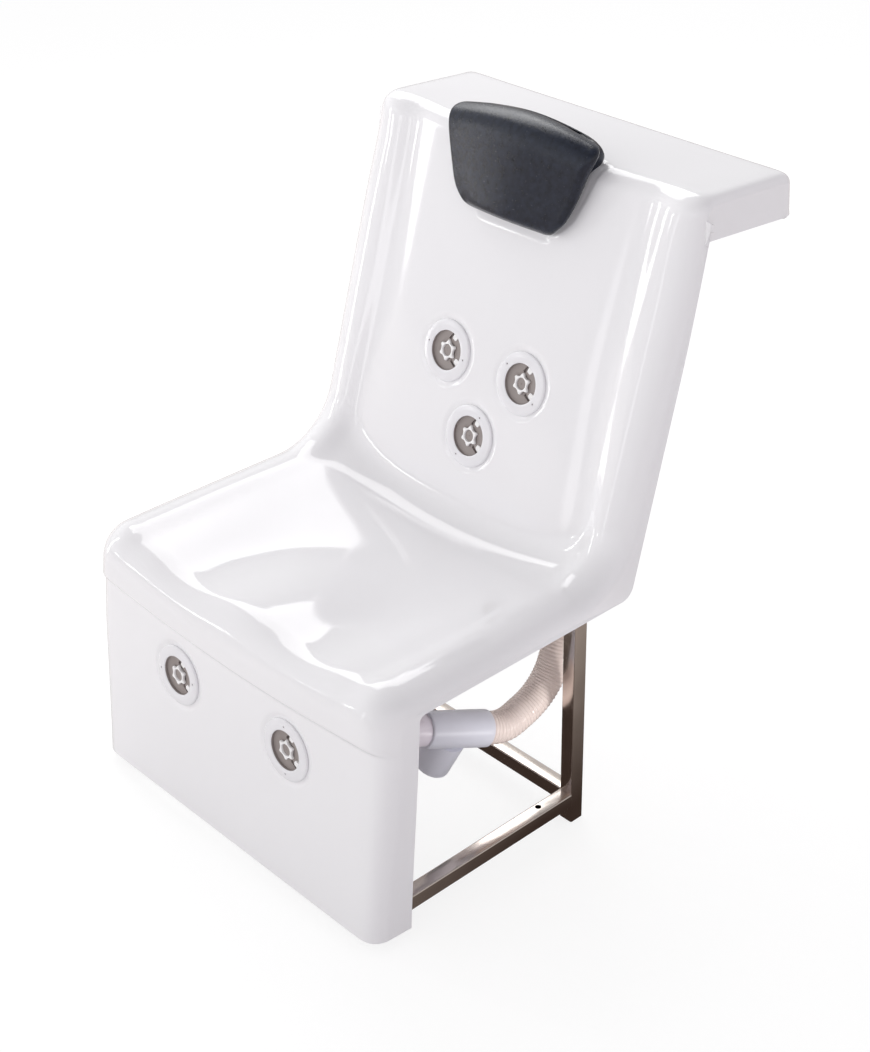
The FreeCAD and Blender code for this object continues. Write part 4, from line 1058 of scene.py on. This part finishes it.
def buildManifold():
    left, right = manifold.left, elbowAt.x - 28.3
    outer, inner, cap = manifold.outer, manifold.inner, left + manifold.cap
    tube = [(inner, left), (outer - 0.8, left), (outer, left + 0.8), (outer, right), (inner, right)]
    plug = [(0.3, left + 0.2), (inner + 0.2, left + 0.2), (inner + 0.2, cap), (0.3, cap)]
    forms = [lathe(outline, manifoldAt, xAxis, 64, zAxis) for outline in (tube, plug)]
    forms += [barbForm(manifoldAt + xAxis * side * jetPlaces.spread, up, 17, 45) for side in (-1, 0, 1)]
    makePiece("backManifold", *joined(forms), "pvc_white", "base", ["back_manifold"])


feed = Values(outer=12.5, inner=9.6, clamp=13.4, clampWide=8, sides=40,
              rise=23, inletDeep=39, inletLow=38, frontStart=24.7, frontEnd=52.5)   # the ends of the hoses


def buildFeed(name, start, end):
    way, length = (end - start).normalized(), (end - start).length
    short, sides = name.replace("_", ""), feed.sides
    form = lathe(sleeveOutline(feed.inner, feed.outer, 0, length, 0.5), start, way, sides)
    makePiece(short + "Hose", *form, "feed_hose_clear", "base", [name])
    for at in (6, length - 12):   # a clamp near each end
        band = sleeveOutline(feed.outer, feed.clamp, at, at + feed.clampWide, 0.2)
        form = lathe(band, start, way, sides)
        makePiece(short + "Clamp" + str(int(at)), *form, "clamp_steel", "base")


for build in (buildTee, buildFrontPipe, buildHose, buildElbow, buildManifold):
    build()
for jet in jets[:3]:
    buildFeed(jet.name.replace("jet", "feed_hose"), manifoldAt + xAxis * jet.seat.x + up * feed.rise,
              jet.seat + behind * feed.inletDeep - up * feed.inletLow)
for jet in jets[3:]:
    start = Vector((jet.seat.x, frontY, frontZ)) - apronIn * feed.frontStart
    buildFeed(jet.name.replace("jet", "feed_hose"), start, jet.seat + apronIn * feed.frontEnd)
print("pipework built")


# Stage, lamps and world
floor = Values(   # in metres: glossy rays see the floor glow with a painted reflection, painted shade near the chair and painted light further off
    reach=9.0, paper=0.92, shown=0.26, glow=0.8, middle=(0.1, 0.0, 0.0),
    near=0.25, far=1.0, dark=(0.06, 0.042, 0.035, 1), pale=(0.62, 0.56, 0.52, 1),
)


def buildFloor():
    mesh = bpy.data.meshes.new("floor")
    r = floor.reach
    mesh.from_pydata([(-r, -r, 0), (r, -r, 0), (r, r, 0), (-r, r, 0)], [], [(0, 1, 2, 3)])
    obj = addObject("floor", mesh)
    material, tree, shader, where = startMaterial("paperBackdrop", "f7f7f8", 0.9)
    shader.inputs["Specular IOR Level"].default_value = 0.0
    path = addNode(tree, "LightPath")
    seen, mirrored = path.outputs["Is Camera Ray"], path.outputs["Is Glossy Ray"]
    paper = mix(tree, seen, grey(floor.paper), grey(floor.shown))
    tree.links.new(mix(tree, mirrored, paper, grey(0.0)), shader.inputs["Base Color"])
    # painted reflection: for glossy rays the floor is black and glows with a ramp from painted shade near
    # the chair to painted light further off
    away = addNode(tree, "VectorMath", {0: where}, {1: floor.middle}, operation="DISTANCE")
    fade = ramp(tree, away.outputs["Value"], floor.near, floor.far, floor.dark, floor.pale)
    tree.links.new(mix(tree, mirrored, grey(1.0), fade), shader.inputs["Emission Color"])
    glow = addNode(tree, "Math", {0: seen, 2: mirrored}, {1: floor.glow}, operation="MULTIPLY_ADD")
    tree.links.new(glow.outputs["Value"], shader.inputs["Emission Strength"])
    mesh.materials.append(material)


buildFloor()

lamps = {   # place, target and sides in metres, power in watts, spread in degrees
    "softboxLeft": ((-1.82, 0.93, 2.6), (0, 0, 0.4), (2.0, 1.33), 30, 180),
    "stripLeft": ((-1.92, -1.06, 0.85), (0.1, 0.1, 0.85), (0.18, 1.5), 5.5, 180),
    "stripFront": ((-2.12, -4.48, 1.1), (0, 0, 0.8), (0.35, 2.2), 5, 180),
    "bulb": ((-4.34, -4.64, 1.41), (0, -0.3, 0.5), (0.47, 0.47), 4.4, 180),
    "underFill": ((1.1, 0.05, 0.15), (0.24, -0.05, 0.25), (0.15, 0.1), 0.09, 26),
}


def buildLamps():
    for name, (place, target, sides, power, spread) in lamps.items():
        data = bpy.data.lights.new(name, "AREA")
        data.shape = "ELLIPSE" if name == "bulb" else "RECTANGLE"
        data.size, data.size_y = sides
        data.energy = power
        data.spread = math.radians(spread)
        obj = addObject(name, data)
        turn = (Vector(target) - Vector(place)).to_track_quat("-Z", "Y").to_matrix().to_4x4()
        obj.matrix_world = Matrix.Translation(place) @ turn
        obj.visible_camera = False


buildLamps()

sky = Values(   # the room from left to right, and its reflections from low to high
    sides=(-0.3, 0.9), left=(1.06, 1.06, 1.06, 1), right=(0.66, 0.63, 0.665, 1),
    horizon=1.58, zenith=0.36, glossLeft=(0.12, 0.085, 0.07, 1), glossRight=(0.42, 0.34, 0.29, 1),
    rise=(-0.05, 0.25), ceiling=(0.45, 0.9), glossHigh=0.85, glossTop=0.25,
)


def buildWorld():
    world = bpy.data.worlds.new("studio")
    bpy.context.scene.world = world
    world.use_nodes = True
    tree = world.node_tree
    tree.nodes.clear()
    coords = addNode(tree, "TexCoord")
    split = addNode(tree, "SeparateXYZ", {"Vector": coords.outputs["Generated"]})
    height = split.outputs["Z"]
    side = mapped(tree, split.outputs["X"], sky.sides)
    climb = mapped(tree, height, (0.0, 1.0), (sky.horizon, sky.zenith))
    room = mix(tree, side, sky.left, sky.right)
    soft = addNode(tree, "VectorMath", {0: room, "Scale": climb}, operation="SCALE")
    low = mix(tree, side, sky.glossLeft, sky.glossRight)
    high = mix(tree, mapped(tree, height, sky.ceiling), grey(sky.glossHigh), grey(sky.glossTop))
    gloss = mix(tree, mapped(tree, height, sky.rise), low, high)
    path = addNode(tree, "LightPath")
    lit = mix(tree, path.outputs["Is Glossy Ray"], soft.outputs["Vector"], gloss)
    shown = mix(tree, path.outputs["Is Camera Ray"], lit, grey(1.0))
    backdrop = addNode(tree, "Background", {"Color": shown})
    addNode(tree, "OutputWorld", {"Surface": backdrop.outputs["Background"]})


buildWorld()
bpy.context.scene.view_settings.view_transform = "Standard"
bpy.context.view_layer.update()
print("stage set")
